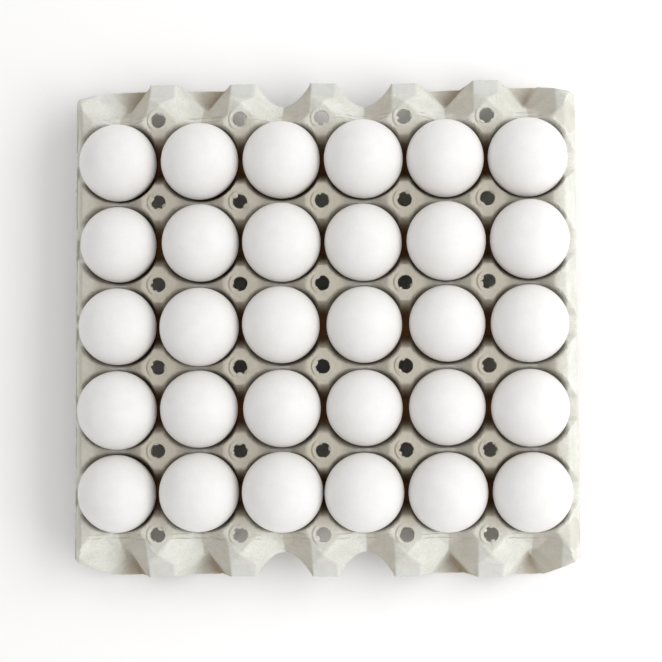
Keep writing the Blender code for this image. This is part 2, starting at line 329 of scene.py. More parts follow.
    def facets(self, post_x: Array, depth: Array, corner: bool) -> Array:
        """Folded facets that fall from one post's flat top, down to its pad where it has one.

        Args:
            post_x: Distances from the post along X.
            depth: Depths on the apron.
            corner: Whether the post stands at a corner, steeper and without a pad.

        Returns:
            The height of the facets at each position.
        """
        slope = self.corner_slope if corner else self.facet_slope
        facet = self.post_height - slope * (post_x + depth - self.plateau)
        drop = (self.post_height - self.pad_height) / (self.pad_start - self.plateau)
        crest = self.post_height - drop * (depth - self.plateau)
        pad = self.pad_height - self.pad_slope * (depth - self.pad_start)
        crest = np.maximum(crest, self.corner_height if corner else pad)
        sheet = soft_min(soft_min(facet, self.post_height, self.fold), crest, self.fold)
        if corner:
            return sheet
        pad = crest - self.pad_side * np.maximum(0.0, post_x - self.pad_half_width)
        return np.maximum(sheet, np.where(depth > self.pad_start, pad, 0.0))

    def apron_height(self, x: Array, depth: Array) -> Array:
        """Aprons: the facets of neighbouring posts, with gullies between.

        Args:
            x: Plan positions along X.
            depth: Depths on the apron.

        Returns:
            The height of the apron at each position.
        """
        post_x = self.post_x(x)
        ridge = self.row_saddle - self.ridge_fall * np.maximum(0.0, depth - self.ridge_width)
        left, right, opened = self.gully_place(x, depth)
        fold = self.fold * np.clip(self.fold_growth * opened, self.head_fold, 1.0)
        within = soft_max(soft_min(left, right, fold), 0.0, fold) * (opened > 0.0)
        sheet = soft_max(self.facets(post_x, depth, False), ridge, self.fold)
        sheet = sheet - self.gully_wall * within
        post_x = np.where(np.abs(x) > self.outer_cups_x, self.pitch_x - post_x, post_x)
        inner = soft_max(self.facets(post_x, depth, False), ridge, self.fold)
        within = np.maximum(0.0, np.where(x > 0.0, left, right)) * (opened > 0.0)
        beside = soft_max(inner - self.gully_wall * within,
                          self.facets(self.pitch_x - post_x, depth, True), self.fold)
        last = np.abs(x) > self.outer_cups_x - self.pitch_x / 2
        return soft_max(np.where(last, beside, sheet), self.gully_floor, self.fold)

    def upper(self, x: Array, y: Array) -> Array:
        """Height of the sheet's upper face.

        Args:
            x: Plan positions along X.
            y: Plan positions along Y.

        Returns:
            The height at each position.
        """
        y = y + self.bowed(x, y)
        post_x, post_y = self.post_x(x), self.post_y(y)
        depth = np.abs(y) - self.outer_posts_y
        outside = depth > 0.0
        apron = self.apron_height(x, self.depth_at(y))
        sheet = np.where(outside, apron, self.saddle_height(post_x, post_y))
        cup_y = np.where(outside, self.pitch_y / 2 + depth, self.pitch_y / 2 - post_y)
        cup = self.cup_height(np.hypot(self.pitch_x / 2 - post_x, cup_y))
        slope = (self.post_height - self.lip_height) / (self.half_x - self.rim_x)
        side_wall = self.lip_height + slope * np.maximum(0.0, self.half_x - np.abs(x))
        sheet = soft_min(soft_min(sheet, cup, self.rounding), side_wall, self.rounding)
        return np.maximum(self.thickness, sheet)

    def under(self, x: Array, y: Array) -> Array:
        """Height of the under face: a ball of the sheet's thickness rolled below the upper face.

        Args:
            x: Plan positions along X.
            y: Plan positions along Y.

        Returns:
            The height at each position.
        """
        lowest = self.upper(x, y) - self.thickness
        for share in self.ball_rings:
            reach = self.thickness * share
            drop = math.sqrt(self.thickness ** 2 - reach ** 2)
            for step in range(self.ball_steps):
                angle = TURN * step / self.ball_steps
                beside = self.upper(x + reach * math.cos(angle), y + reach * math.sin(angle))
                lowest = np.minimum(lowest, beside - drop)
        return np.maximum(0.0, lowest)

    def slopes(self, x: Array, y: Array) -> tuple[Array, Array]:
        """How steeply the upper face rises along X and along Y.

        Args:
            x: Plan positions along X.
            y: Plan positions along Y.

        Returns:
            The two slopes at each position.
        """
        step = self.slope_step
        rise_x = self.upper(x + step, y) - self.upper(x - step, y)
        rise_y = self.upper(x, y + step) - self.upper(x, y - step)
        return rise_x / (2.0 * step), rise_y / (2.0 * step)


@dataclass(frozen=True)
class Relief:
    """Small uneven forms on the upper face: swells, hole rings, creases and felt marks."""

    form: TrayForm
    ring_radius: float = 6.0 * MM
    ring_width: float = 0.40 * MM
    ring_height: float = 0.45 * MM
    groove_radius: float = 6.75 * MM
    groove_width: float = 0.34 * MM
    groove_depth: float = 0.75 * MM
    patch_pull: float = 0.3
    left_pull: float = 1.6
    ring_loss: float = 0.6
    crease_offset: float = 1.6 * MM
    crease_depth: float = 0.60 * MM
    crease_width: float = 0.5 * MM
    crease_span: Span = (8.0 * MM, 11.0 * MM)
    crease_pull: float = 1.4
    crease_loss: float = 0.3
    patches: Ripple = Ripple(41, 7.0 * MM, 18.0 * MM)
    swells: tuple[tuple[float, Ripple], ...] = (
        (0.22 * MM, Ripple(7, 14.0 * MM, 60.0 * MM)),
        (0.13 * MM, Ripple(11, 3.5 * MM, 9.0 * MM, 24)),
        (0.05 * MM, Ripple(19, 1.6 * MM, 3.2 * MM, 30)))

    def lift(self, x: Array, y: Array) -> Array:
        """How far the upper face stands above the tray's plain form.

        The rings stand broken round the -X side of each hole, as the tool left them.

        Args:
            x: Plan positions along X.
            y: Plan positions along Y.

        Returns:
            The lift at each position.
        """
        form = self.form
        post_x = form.post_x(x)
        radius = np.hypot(post_x, form.post_y(y))
        patchy = 0.5 + 0.5 * self.patches.at(x, y)
        leftward = np.clip(-form.past_post_x(x) / self.ring_radius, 0.0, 1.0)
        ring = bell(radius - self.ring_radius, self.ring_width)
        groove = bell(radius - self.groove_radius, self.groove_width)
        torn = np.clip(patchy * self.patch_pull + self.left_pull * leftward - self.ring_loss,
                       0.0, 1.0) * (np.abs(x) < form.outer_cups_x)
        lift = (self.ring_height * ring - self.groove_depth * groove) * torn
        crease = bell(np.abs(y) - form.outer_posts_y - self.crease_offset, self.crease_width)
        crease = crease * ramp(post_x, *self.crease_span)
        lift -= self.crease_depth * crease * np.clip(
            patchy * self.crease_pull - self.crease_loss, 0.0, 1.0)
        for height, swell in self.swells:
            lift += height * swell.at(x, y)
        return lift


def positions(mesh: bpy.types.Mesh) -> Array:
    """Positions of a mesh's points, one row each."""
    places = np.empty(len(mesh.vertices) * 3, np.float32)
    mesh.vertices.foreach_get("co", places)
    return places.reshape(-1, 3).astype(float)


def floats(mesh: bpy.types.Mesh, name: str, values: Array) -> None:
    """Store one number at each point of a mesh."""
    layer = mesh.attributes.new(name, "FLOAT", "POINT")
    layer.data.foreach_set("value", values.astype(np.float32))


class Mask(Enum):
    """Names under which the masks are stored on a mesh."""

    # Painted shade in the gullies, on the flanks that face -X and between the eggs.
    HOLLOW = "hollow"
    PRESSED = "pressed"
    # Painted shade on the posts among the eggs and on the under face.
    POSTS = "posts"
    CREASED = "creased"


@dataclass(frozen=True)
class ShadeAndPadMasks:
    """Masks that the pulp's colours follow, stored at the points of a mesh. All but the
    pads' mask carry painted shade: darker, browner colour put where shade falls.

    Shares run from 0 to 1. A span gives where a mask starts and where it is full.
    """

    form: TrayForm
    # Painted shade in the gullies, darker towards their +X side, and on the flanks that face -X.
    inward: Span = (-2.0 * MM, 1.0 * MM)
    gully_left: Span = (0.25, 0.10)
    gully_right: Span = (0.60, 0.46)
    gully_turn: Span = (0.3, 0.8)
    gully_start: Span = (0.08, 0.24)
    gully_wall: Span = (0.0, 3.0 * MM)
    last_share: float = 0.45
    last_turn: Span = (0.62, 0.8)
    flank_share: float = 0.21
    flank_fade: float = 1.0 * MM
    # Painted shade between the eggs, on the upper cup walls and down in the cups, kept off the
    # side lips.
    gap_share: float = 0.97
    gap_span: Span = (9.5 * MM, 19.0 * MM)
    wall_share: float = 0.5
    wall_span: Span = (22.6 * MM, 24.8 * MM)
    wall_side: Span = (2.0 * MM, 8.0 * MM)
    cup_depth: Span = (22.0 * MM, 31.5 * MM)
    lip_width: float = 8.0 * MM
    pad_fade: float = 0.4 * MM
    # Painted shade on the posts among the eggs: none at the +X end, weaker at the -X end, and
    # partly on the flat post tops.
    post_reach: Span = (-9.0 * MM, 2.0 * MM)
    post_rise: Span = (29.0 * MM, 38.0 * MM)
    right_end: Span = (130.0 * MM, 142.0 * MM)
    left_end: Span = (-138.0 * MM, -126.0 * MM)
    left_share: float = 0.7
    top_share: float = 0.42
    top_fade: float = 0.8 * MM
    # Where the painted shade lines at the folds may show.
    fold_start: Span = (6.0 * MM, 11.0 * MM)
    fold_reach: Span = (5.0 * MM, 8.0 * MM)
    # Painted shade on the under face, given through the posts' mask.
    under_shade_share: float = 0.9

    def gully(self, x: Array, depth: Array) -> Array:
        """Painted shade in the gullies, darker on their +X side, and on the flanks beside them
        that face -X.

        Args:
            x: Plan positions along X.
            depth: Depths on the apron.

        Returns:
            The share at each position.
        """
        form = self.form
        left, right, opened = form.gully_place(x, depth)
        share = left / np.maximum(left + right, MM)
        side = np.where(x > form.outer_cups_x - MM, self.last_share, 1.0)
        gully = mix(mix(*self.gully_left, opened), mix(*self.gully_right, opened),
                    ramp(share, *self.gully_turn))
        gully = gully * ramp(share, *self.gully_start) * mix(
            1.0, side, ramp(share, *self.last_turn))
        gully = gully * ramp(right, *self.gully_wall) * (opened > 0.0)
        post_x = form.post_x(x)
        flank = ramp(post_x + depth, form.plateau, form.plateau + self.flank_fade)
        flank = flank * (form.past_cup_x(x) > 0.0)
        flank = flank * ramp(post_x, form.pad_half_width - self.flank_fade, form.pad_half_width)
        return np.maximum(gully, self.flank_share * flank)

    def hollow(self, places: Array) -> Array:
        """How much painted shade each place gets, from 0 in the open to 1 deep between the eggs.

        Args:
            places: Positions, one row each.

        Returns:
            The share at each position.
        """
        form = self.form
        x, y, z = places.T
        depth = form.depth_at(y)
        post_y = form.post_y(y)
        gap = ramp(post_y, *self.gap_span) * self.gap_share
        wall = fall(form.cup_radius(x, y), *self.wall_span) * self.wall_share
        wall = wall * ramp(post_y, *self.wall_side)
        cup = np.maximum(np.maximum(gap, wall), fall(z, *self.cup_depth))
        cup = cup * fall(np.abs(x), form.rim_x - self.lip_width, form.rim_x)
        return mix(self.gully(x, depth), cup, 1.0 - ramp(depth, *self.inward))

    def pressed(self, places: Array) -> Array:
        """Where the mould pressed the pulp smooth: 1 on the flat pads, 0 elsewhere.

        Args:
            places: Positions, one row each.

        Returns:
            The share at each position.
        """
        form, fade = self.form, self.pad_fade
        x, y, _ = places.T
        width = fall(form.post_x(x), form.pad_half_width - fade, form.pad_half_width + fade)
        return width * ramp(form.depth_at(y), form.pad_start - fade, form.pad_start + fade)

    def posts(self, places: Array) -> Array:
        """Painted shade on the posts between the eggs: 1 on the inner posts, less on outer ones.

        Args:
            places: Positions, one row each.

        Returns:
            The share at each position.
        """
        form = self.form
        x, y, z = places.T
        depth = np.abs(y) - form.outer_posts_y
        top = 1.0 - ramp(form.post_x(x) + np.abs(depth), form.plateau,
                         form.plateau + self.top_fade)
        among = (1.0 - ramp(depth, *self.post_reach)) * ramp(z, *self.post_rise)
        among = among * fall(x, *self.right_end)
        among = among * mix(self.left_share, 1.0, ramp(x, *self.left_end))
        return np.maximum(among, self.top_share * top)

    def creased(self, places: Array) -> Array:
        """Where the painted shade lines at the folds between apron and cups may show: between the
        outermost posts.

        Args:
            places: Positions, one row each.

        Returns:
            The share at each position.
        """
        x, y, _ = places.T
        depth = np.abs(y) - self.form.outer_posts_y
        return ramp(self.form.post_x(x), *self.fold_start) * fall(np.abs(depth), *self.fold_reach)

    def paint(self, mesh: bpy.types.Mesh, count: int | None = None) -> None:
        """Store the masks on a mesh.

        Args:
            mesh: The mesh, in place.
            count: How many of its points, from the first, lie on the upper face; all if None.
        """
        places = positions(mesh)
        upper = np.arange(len(places)) < (len(places) if count is None else count)
        # The under face takes the posts' painted shade at its own share; the other masks are left
        # off it.
        for name, mask, below in ((Mask.HOLLOW, self.hollow, 0.0),
                                  (Mask.PRESSED, self.pressed, 0.0),
                                  (Mask.POSTS, self.posts, self.under_shade_share),
                                  (Mask.CREASED, self.creased, 0.0)):
            floats(mesh, name.value, np.where(upper, mask(places), below))


# ---------------------------------------------------------------- plans

def inside(loop: Array, points: Array) -> Array:
    """Whether plan points lie within a closed loop.

    Args:
        loop: The loop's corners, one row each.
        points: The points to test, one row each.

    Returns:
        One truth value for each point.
    """
    within = np.zeros(len(points), bool)
    x, y = points[:, 0], points[:, 1]
    for (x0, y0), (x1, y1) in zip(np.roll(loop, 1, axis=0), loop):
        if y0 == y1:
            continue
        crosses = (y1 > y) != (y0 > y)
        within ^= crosses & (x < x0 + (y - y0) * (x1 - x0) / (y1 - y0))
    return within


def clearance(loop: Array, points: Array) -> Array:
    """Distance from each plan point to the nearest side of a closed loop.

    Args:
        loop: The loop's corners, one row each.
        points: The points to measure from, one row each.

    Returns:
        One distance for each point.
    """
    nearest = np.full(len(points), np.inf)
    for start, end in zip(np.roll(loop, 1, axis=0), loop):
        side = end - start
        share = np.clip(((points - start) @ side) / (side @ side), 0.0, 1.0)
        gap = np.linalg.norm(points - start - share[:, None] * side, axis=1)
        nearest = np.minimum(nearest, gap)
    return nearest


def resample(corners: list[tuple[float, float]], spacing: float) -> Array:
    """Close points along a closed loop, its corners among them.

    Args:
        corners: The loop's corners.
        spacing: The distance between points, as nearly as each side allows.

    Returns:
        The points, one row each.
    """
    loop = np.array(corners + corners[:1])
    parts = []
    for start, end in zip(loop, loop[1:]):
        steps = max(1, round(float(np.linalg.norm(end - start)) / spacing))
        parts.append(start + (end - start) * (np.arange(steps) / steps)[:, None])
    return np.concatenate(parts)


def around(angles: Array) -> Array:
    """Unit plan directions at angles from the X axis, one row each."""
    return np.column_stack([np.cos(angles), np.sin(angles)])


def outward(loop: Array) -> Array:
    """Unit plan directions pointing out of an anticlockwise loop, one at each of its points."""
    along = np.roll(loop, -1, axis=0) - np.roll(loop, 1, axis=0)
    along /= np.linalg.norm(along, axis=1)[:, None]
    return np.column_stack([along[:, 1], -along[:, 0]])


@dataclass(frozen=True)
class Outline:
    """The loops where the sheet ends: its outer edge, and the rims of the post holes."""

    form: TrayForm
    spacing: float = 1.1 * MM
    raggedness: float = 0.07 * MM
    rough: Ripple = Ripple(23, 2.4 * MM, 9.0 * MM, 24)
    swell: float = 0.22 * MM
    bends: Ripple = Ripple(29, 30.0 * MM, 90.0 * MM)
    hole_sides: int = 44
    hole_raggedness: float = 0.10 * MM
    hole_waves: tuple[int, ...] = (2, 3, 4, 5, 6, 7, 8)
    hole_decay: float = 0.7
    hole_seed: int = 700

    def notch(self, mouth_depth: float) -> list[tuple[float, float]]:
        """A finger notch between the corners of its mouth.

        Args:
            mouth_depth: Depth of the sheet's edge on either side of the notch.

        Returns:
            Offsets along X from the notch's middle, each with its depth, from the +X side.
        """
        form = self.form
        half = []
        for k in range(1, form.notch_steps + 1):
            angle = TURN / 4 * k / form.notch_steps
            inward = 1.0 - math.sin(angle)
            flare = (form.notch_mouth - form.notch_throat) * inward ** 2
            reach = form.notch_apex + (mouth_depth - form.notch_apex) * inward
            half.append((form.notch_throat * math.cos(angle) + flare, reach))
        return half + [(-offset, depth) for offset, depth in reversed(half[:-1])]

    def side(self, front: bool) -> list[tuple[float, float]]:
        """Corners of the back or the front edge.

        Args:
            front: Whether it is the front edge.

        Returns:
            Places along X from the +X end, each with its distance out along Y.
        """
        form = self.form
        chamfer_end = form.half_x - form.chamfer_x
        out = form.half_y + (form.front_reach if front else 0.0)
        insets = form.front_insets if front else form.back_insets
        corners = [(form.half_x, form.half_y - form.chamfer_y), (chamfer_end, out - insets[-1])]
        for column in range(form.columns - 1, -1, -1):
            centre = form.cup(column, 0)[0]
            if column in form.notch_columns:
                corners += [(centre + offset, form.outer_posts_y + depth)
                            for offset, depth in self.notch(out - form.outer_posts_y)]
            else:
                middle = centre + form.gully_shifts[column]
                mouth = [middle + side * form.gully_half_width for side in (1, -1)]
                corners += [(x, out - insets[column]) for x in mouth
                            if abs(x) < chamfer_end - MM]
            if column > 0:
                post = centre - form.pitch_x / 2
                corners += [(post + side * form.pad_half_width, out) for side in (1, -1)]
        return corners + [(-chamfer_end, out - insets[0]),
                          (-form.half_x, form.half_y - form.chamfer_y)]

    def edge(self) -> Array:
        """The outer edge as an uneven loop of close points, anticlockwise from the +X side."""
        corners = self.side(False) + [(x, -y) for x, y in reversed(self.side(True))]
        loop = resample(corners, self.spacing)
        push = self.raggedness * self.rough.at(*loop.T) + self.swell * self.bends.at(*loop.T)
        loop = loop + outward(loop) * push[:, None]
        loop[:, 1] -= self.form.bowed(*loop.T)
        return loop

    def rims(self) -> list[Array]:
        """The rims of the post holes, each slightly out of round."""
        angles = np.linspace(0.0, TURN, self.hole_sides, endpoint=False)
        loops = []
        for number, centre in enumerate(self.form.holes()):
            chance = np.random.default_rng(self.hole_seed + number)
            radius = np.full(self.hole_sides, self.form.hole_radius)
            for wave in self.hole_waves:
                phase = chance.uniform(0.0, TURN)
                height = self.hole_raggedness / wave ** self.hole_decay
                radius += height * np.cos(wave * angles + phase)
            loops.append(np.array(centre) + around(angles) * radius[:, None])
        return loops


@dataclass(frozen=True)
class FacePlan:
    """Points and triangles of one face of the sheet, seen in plan.

    The points lie closer together where the sheet shows than where an egg hides it. Gaps are
    shares of the fine spacing.
    """

    form: TrayForm
    edge: Array
    rims: list[Array]
    spacing: float
    hidden_spacing: float
    hidden_radius: float
    ring_radii: tuple[float, ...] = ()
    ring_steps: int = 44
    ring_gap: float = 0.6
    edge_gap: float = 0.5
    border: float = 26.0 * MM
    side_border: float = 6.5 * MM
    rim_reach: float = 1.5
    weld: float = 1e-7

    def grid(self, spacing: float) -> Array:
        """A triangular grid of points over the whole tray.

        Args:
            spacing: The distance between neighbouring points.

        Returns:
            The points, one row each.
        """
        form = self.form
        lines = np.arange(-form.half_y, form.half_y, spacing * math.sqrt(3) / 2)
        shade_lines = np.arange(-form.half_x, form.half_x, spacing)
        x, y = np.meshgrid(shade_lines, lines)
        x[1::2] += spacing / 2
        return np.column_stack([x.ravel(), y.ravel()])

    def inner_points(self) -> Array:
        """Grid points kept clear of the edges, fine where the sheet shows."""
        form = self.form
        parts = []
        for spacing, shown in ((self.spacing, True), (self.hidden_spacing, False)):
            points = self.grid(spacing)
            x, y = points.T
            hidden = (np.abs(y) < form.outer_posts_y) & (
                form.cup_radius(x, y) < self.hidden_radius)
            parts.append(points[hidden != shown])
        points = np.concatenate(parts)
        ring_out = max(self.ring_radii, default=form.hole_radius) + self.spacing * self.ring_gap
        for centre in form.holes():
            points = points[np.hypot(*(points - centre).T) > ring_out]
        near = self.near_edge(points)
        keep = np.ones(len(points), bool)
        keep[near] = inside(self.edge, points[near]) & (
            clearance(self.edge, points[near]) > self.edge_gap * self.spacing)
        return points[keep]

    def near_edge(self, points: Array) -> Array:
        """Whether points are close enough to the outer edge to need testing against it."""
        return (np.abs(points[:, 0]) > self.form.half_x - self.side_border) | (
            np.abs(points[:, 1]) > self.form.half_y - self.border)

    def rings(self) -> list[Array]:
        """Rings of points round each hole, every second one turned by half a step."""
        turns = np.linspace(0.0, TURN, self.ring_steps, endpoint=False)
        half = TURN / (2 * self.ring_steps)
        return [np.array(centre) + radius * around(turns + (number % 2) * half)
                for centre in self.form.holes() for number, radius in enumerate(self.ring_radii)]

    def kept(self, middles: Array) -> Array:
        """Whether triangles belong to the face, and not to the room outside or to a hole.

        Args:
            middles: The triangles' middles, one row each.

        Returns:
            One truth value for each triangle.
        """
        keep = np.ones(len(middles), bool)
        near = self.near_edge(middles)
        keep[near] = inside(self.edge, middles[near])
        reach = self.rim_reach * self.form.hole_radius
        for centre, rim in zip(self.form.holes(), self.rims):
            close = np.flatnonzero(np.hypot(*(middles - centre).T) < reach)
            keep[close] &= ~inside(rim, middles[close])
        return keep

    def triangles(self) -> tuple[Array, Array, list[Array]]:
        """Triangulate the face.

        Returns:
            The plan points, the triangles as rows of three indices, and for the outer edge and
            each rim the indices of its points in order.
        """
        loops = [self.edge] + self.rims
        points = np.concatenate(loops + self.rings() + [self.inner_points()])
        ends = np.cumsum([len(loop) for loop in loops]).tolist()
        spans = [range(end - len(loop), end) for loop, end in zip(loops, ends)]
        sides = [(k, k + 1 if k + 1 < span.stop else span.start) for span in spans for k in span]
        result = delaunay_2d_cdt([Vector(point) for point in points.tolist()], sides, [], 0,
                                 self.weld)
        flat = np.array([tuple(vertex) for vertex in result[0]])
        faces = np.array(result[2])
        place = {source: k for k, sources in enumerate(result[3]) for source in sources}
        order = [np.array([place[k] for k in span]) for span in spans]
        return flat, faces[self.kept(flat[faces].mean(axis=1))], order


# ---------------------------------------------------------------- meshes

def stand(name: str, data: bpy.types.ID) -> bpy.types.Object:
    """A new object in the scene.

    Args:
        name: The object's name.
        data: Its mesh, lamp or camera.

    Returns:
        The object.
    """
    made = bpy.data.objects.new(name, data)
    bpy.context.scene.collection.objects.link(made)
    return made


def mesh_object(name: str, vertices: Array, faces: list, material: bpy.types.Material,
                smooth_angle: float) -> bpy.types.Object:
    """A mesh object in the scene, shaded smooth up to an angle.

    Args:
        name: The object's name.
        vertices: Positions, one row each.
        faces: Corner indices of each face.
        material: The finish.
        smooth_angle: Largest angle between faces that is shaded smooth.

    Returns:
        The new object.
    """
    mesh = bpy.data.meshes.new(name)
    mesh.from_pydata(vertices.tolist(), [], faces)
    mesh.materials.append(material)
    mesh.shade_smooth()
    mesh.set_sharp_from_angle(angle=smooth_angle)
    return stand(name, mesh)


@dataclass(frozen=True)
class PulpSheet:
    """The tray itself: upper face, under face and the cut edges between them."""

    form: TrayForm
    outline: Outline
    relief: Relief
    shade_and_pad_masks: ShadeAndPadMasks
    spacing: float = 1.05 * MM
    under_spacing: float = 2.5 * MM
    hidden_spacing: float = 2.6 * MM
    hidden_radius: float = 18.0 * MM
    ring_radii: tuple[float, ...] = (4.9 * MM, 5.3 * MM, 5.7 * MM, 6.05 * MM, 6.4 * MM, 6.75 * MM,
                                     7.15 * MM)
    edge_bulge: float = 0.35 * MM
    edge_square: float = 0.85
    under_rough: float = 0.25 * MM
    under_ripple: Ripple = Ripple(53, 7.0 * MM, 22.0 * MM, 20)
    under_span: Span = (0.2 * MM, 3.0 * MM)
    smooth_angle: float = math.radians(55.0)

    def upper_face(self, plan: Array) -> Array:
        """Positions on the upper face, above its plan points."""
        x, y = plan.T
        return np.column_stack([x, y, self.form.upper(x, y) + self.relief.lift(x, y)])

    def under_face(self, plan: Array) -> Array:
        """Positions on the under face, which is uneven wherever it is clear of the ground.

        Args:
            plan: The face's plan points.

        Returns:
            The positions, one row each.
        """
        x, y = plan.T
        rough = self.under_rough * self.under_ripple.at(x, y)
        height = self.form.under(x, y)
        height = np.maximum(0.0, height + rough * ramp(height, *self.under_span))
        return np.column_stack([x, y, height])

    def undercut(self, edge: Array) -> Array:
        """The under face's edge, since the cut through the pulp is square to the sheet.

        Args:
            edge: The upper face's edge.

        Returns:
            The loop of the under face's edge.
        """
        slope_x, slope_y = self.form.slopes(edge[:, 0], edge[:, 1])
        steep = np.sqrt(1.0 + slope_x ** 2 + slope_y ** 2)
        shift = np.column_stack([slope_x, slope_y]) * (
            self.form.thickness * self.edge_square / steep)[:, None]
        inward = -outward(edge)
        reach = np.clip((shift * inward).sum(axis=1), 0.0, self.form.thickness)
        reach = (np.roll(reach, 1) + reach + np.roll(reach, -1)) / 3
        return edge + inward * reach[:, None]

    def build(self, material: bpy.types.Material) -> bpy.types.Object:
        """Build the sheet as one closed mesh, with its masks stored at each point.

        Args:
            material: The pulp's finish.

        Returns:
            The piece.
        """
        edge, rims = self.outline.edge(), self.outline.rims()
        flat, faces, loops = FacePlan(self.form, edge, rims, self.spacing, self.hidden_spacing,
                                      self.hidden_radius, self.ring_radii).triangles()
        upper = self.upper_face(flat)
        flat, under_faces, under_loops = FacePlan(self.form, self.undercut(edge), rims,
                                                  self.under_spacing, self.under_spacing,
                                                  0.0).triangles()
        lower = self.under_face(flat)
        count = len(upper)
        parts = [upper, lower]
        corners = faces.tolist() + (under_faces[:, ::-1] + count).tolist()
        for number, (high, low) in enumerate(zip(loops, under_loops)):
            begin = sum(len(part) for part in parts)
            middle = (upper[high] + lower[low]) / 2
            way = outward(upper[high][:, :2]) * (1.0 if number == 0 else -1.0)
            middle[:, :2] += way * self.edge_bulge
            parts.append(middle)
            corners += cut_faces(high, begin, count + low, number > 0)
        piece = mesh_object("tray_pulp", np.concatenate(parts), corners, material,
                            self.smooth_angle)
        self.shade_and_pad_masks.paint(piece.data, count)
        return piece


def cut_faces(high: Array, begin: int, low: Array, rim: bool) -> list[tuple[int, ...]]:
    """Faces of a cut edge, from the upper face by way of its bulge to the under face.

    Args:
        high: Indices of the loop's points on the upper face, in order.
        begin: Index of its first point on the bulge.
        low: Indices of its points on the under face.
        rim: Whether it is the rim of a hole, and so seen from within.

    Returns:
        Four corner indices for each face.
    """
    size = len(high)
    faces = []
    for k in range(size):
        a, b = ((k + 1) % size, k) if rim else (k, (k + 1) % size)
        faces.append((high[b], high[a], begin + a, begin + b))
        faces.append((begin + b, begin + a, low[a], low[b]))
    return faces


# ---------------------------------------------------------------- node helpers

@dataclass(frozen=True)
class Sketch:
    """A node tree, with short ways to add nodes and join them."""

    tree: bpy.types.NodeTree

    def add(self, kind: str, inputs: dict | None = None, **settings: Any) -> bpy.types.Node:
        """Add a node.

        Args:
            kind: The node's type name.
            inputs: Values or sockets for its inputs, by name or number.
            **settings: Values for the node's own properties.

        Returns:
            The new node.
        """
        node = self.tree.nodes.new(kind)
        for name, value in settings.items():
            setattr(node, name, value)
        self.fill(node, inputs or {})
        return node

    def fill(self, node: bpy.types.Node, inputs: dict) -> None:
        """Join sockets to a node's inputs, or set their values.

        Args:
            node: The node.
            inputs: Values or sockets for its inputs, by name or number.
        """
        for name, value in inputs.items():
            if isinstance(value, bpy.types.NodeSocket):
                self.tree.links.new(value, node.inputs[name])
            else:
                node.inputs[name].default_value = value

    def maths(self, operation: str, *values: Any) -> bpy.types.NodeSocket:
        """The result of a Math node on sockets or numbers."""
        return self.add("ShaderNodeMath", dict(enumerate(values)), operation=operation).outputs[0]

    def vector(self, operation: str, *values: Any) -> bpy.types.NodeSocket:
        """The result of a Vector Math node on sockets or vectors."""
        return self.add("ShaderNodeVectorMath", dict(enumerate(values)),
                        operation=operation).outputs[0]

    def scaled(self, vector: Any, scale: Any) -> bpy.types.NodeSocket:
        """A vector times a number."""
        return self.add("ShaderNodeVectorMath", {0: vector, "Scale": scale},
                        operation="SCALE").outputs[0]

    def joined(self, x: Any, y: Any, z: Any) -> bpy.types.NodeSocket:
        """A vector made of three numbers."""
        return self.add("ShaderNodeCombineXYZ", {0: x, 1: y, 2: z}).outputs[0]

    def blend(self, share: Any, low: Any, high: Any) -> bpy.types.NodeSocket:
        """A colour between low and high."""
        return self.add("ShaderNodeMix", {0: share, 6: low, 7: high}, data_type="RGBA").outputs[2]

    def layers(self, colour: Any, tints: list[tuple[Any, Colour]]) -> bpy.types.NodeSocket:
        """A colour with others laid over it one by one, each by its share."""
        for share, tint in tints:
            colour = self.blend(share, colour, tint)
        return colour

    def spread(self, value: Any, low: float, high: float, to_low: float = 0.0,
               to_high: float = 1.0) -> bpy.types.NodeSocket:
        """A value moved from one range to another, and held within it."""
        return self.add("ShaderNodeMapRange", {0: value, 1: low, 2: high, 3: to_low,
                                               4: to_high}).outputs[0]

    def noise(self, place: Any, scale: Any, detail: float,
              roughness: float = 0.5) -> bpy.types.NodeSocket:
        """Noise about one half, at each place."""
        return self.add("ShaderNodeTexNoise", {"Vector": place, "Scale": scale, "Detail": detail,
                                               "Roughness": roughness}).outputs[0]

    def place(self) -> bpy.types.NodeSocket:
        """Where the shaded point lies in the piece's own coordinates."""
        return self.add("ShaderNodeTexCoord").outputs["Object"]

    def mask(self, mask: Mask) -> bpy.types.NodeSocket:
        """A mask stored on the mesh."""
        return self.add("ShaderNodeAttribute", attribute_name=mask.value).outputs["Fac"]

    def chance(self, low: Any, high: Any, seed: Any) -> bpy.types.NodeSocket:
        """A random number for each element, or a random vector where low is one.

        Args:
            low: The smallest value.
            high: The largest value.
            seed: The seed.

        Returns:
            The random value.
        """
        if isinstance(low, tuple):
            return self.add("FunctionNodeRandomValue", {0: low, 1: high, "Seed": seed},
                            data_type="FLOAT_VECTOR").outputs[0]
        return self.add("FunctionNodeRandomValue", {2: low, 3: high, "Seed": seed},
                        data_type="FLOAT").outputs[1]

    def end(self, geometry: bpy.types.NodeSocket,
            material: bpy.types.NodeSocket) -> bpy.types.NodeTree:
        """End a geometry tree with plain meshes in one material.

        Args:
            geometry: What the tree has made.
            material: The finish.

        Returns:
            The tree.
        """
        real = self.add("GeometryNodeRealizeInstances", {"Geometry": geometry})
        dressed = self.add("GeometryNodeSetMaterial", {"Geometry": real.outputs[0],
                                                       "Material": material})
        self.add("NodeGroupOutput", {0: dressed.outputs[0]})
        return self.tree


def new_group(name: str, kind: str, inputs: dict[str, tuple[str, Any]],
              outputs: dict[str, str]) -> Sketch:
    """A new node group with named inputs and outputs.

    Args:
        name: The group's name.
        kind: GeometryNodeTree or ShaderNodeTree.
        inputs: Socket type and default value of each input.
        outputs: Socket type of each output.

    Returns:
        The group's sketch.
    """
    tree = bpy.data.node_groups.new(name, kind)
    for label, (socket, default) in inputs.items():
        made = tree.interface.new_socket(label, in_out="INPUT", socket_type=socket)
        if default is not None:
            made.default_value = default
    for label, socket in outputs.items():
        tree.interface.new_socket(label, in_out="OUTPUT", socket_type=socket)
    return Sketch(tree)


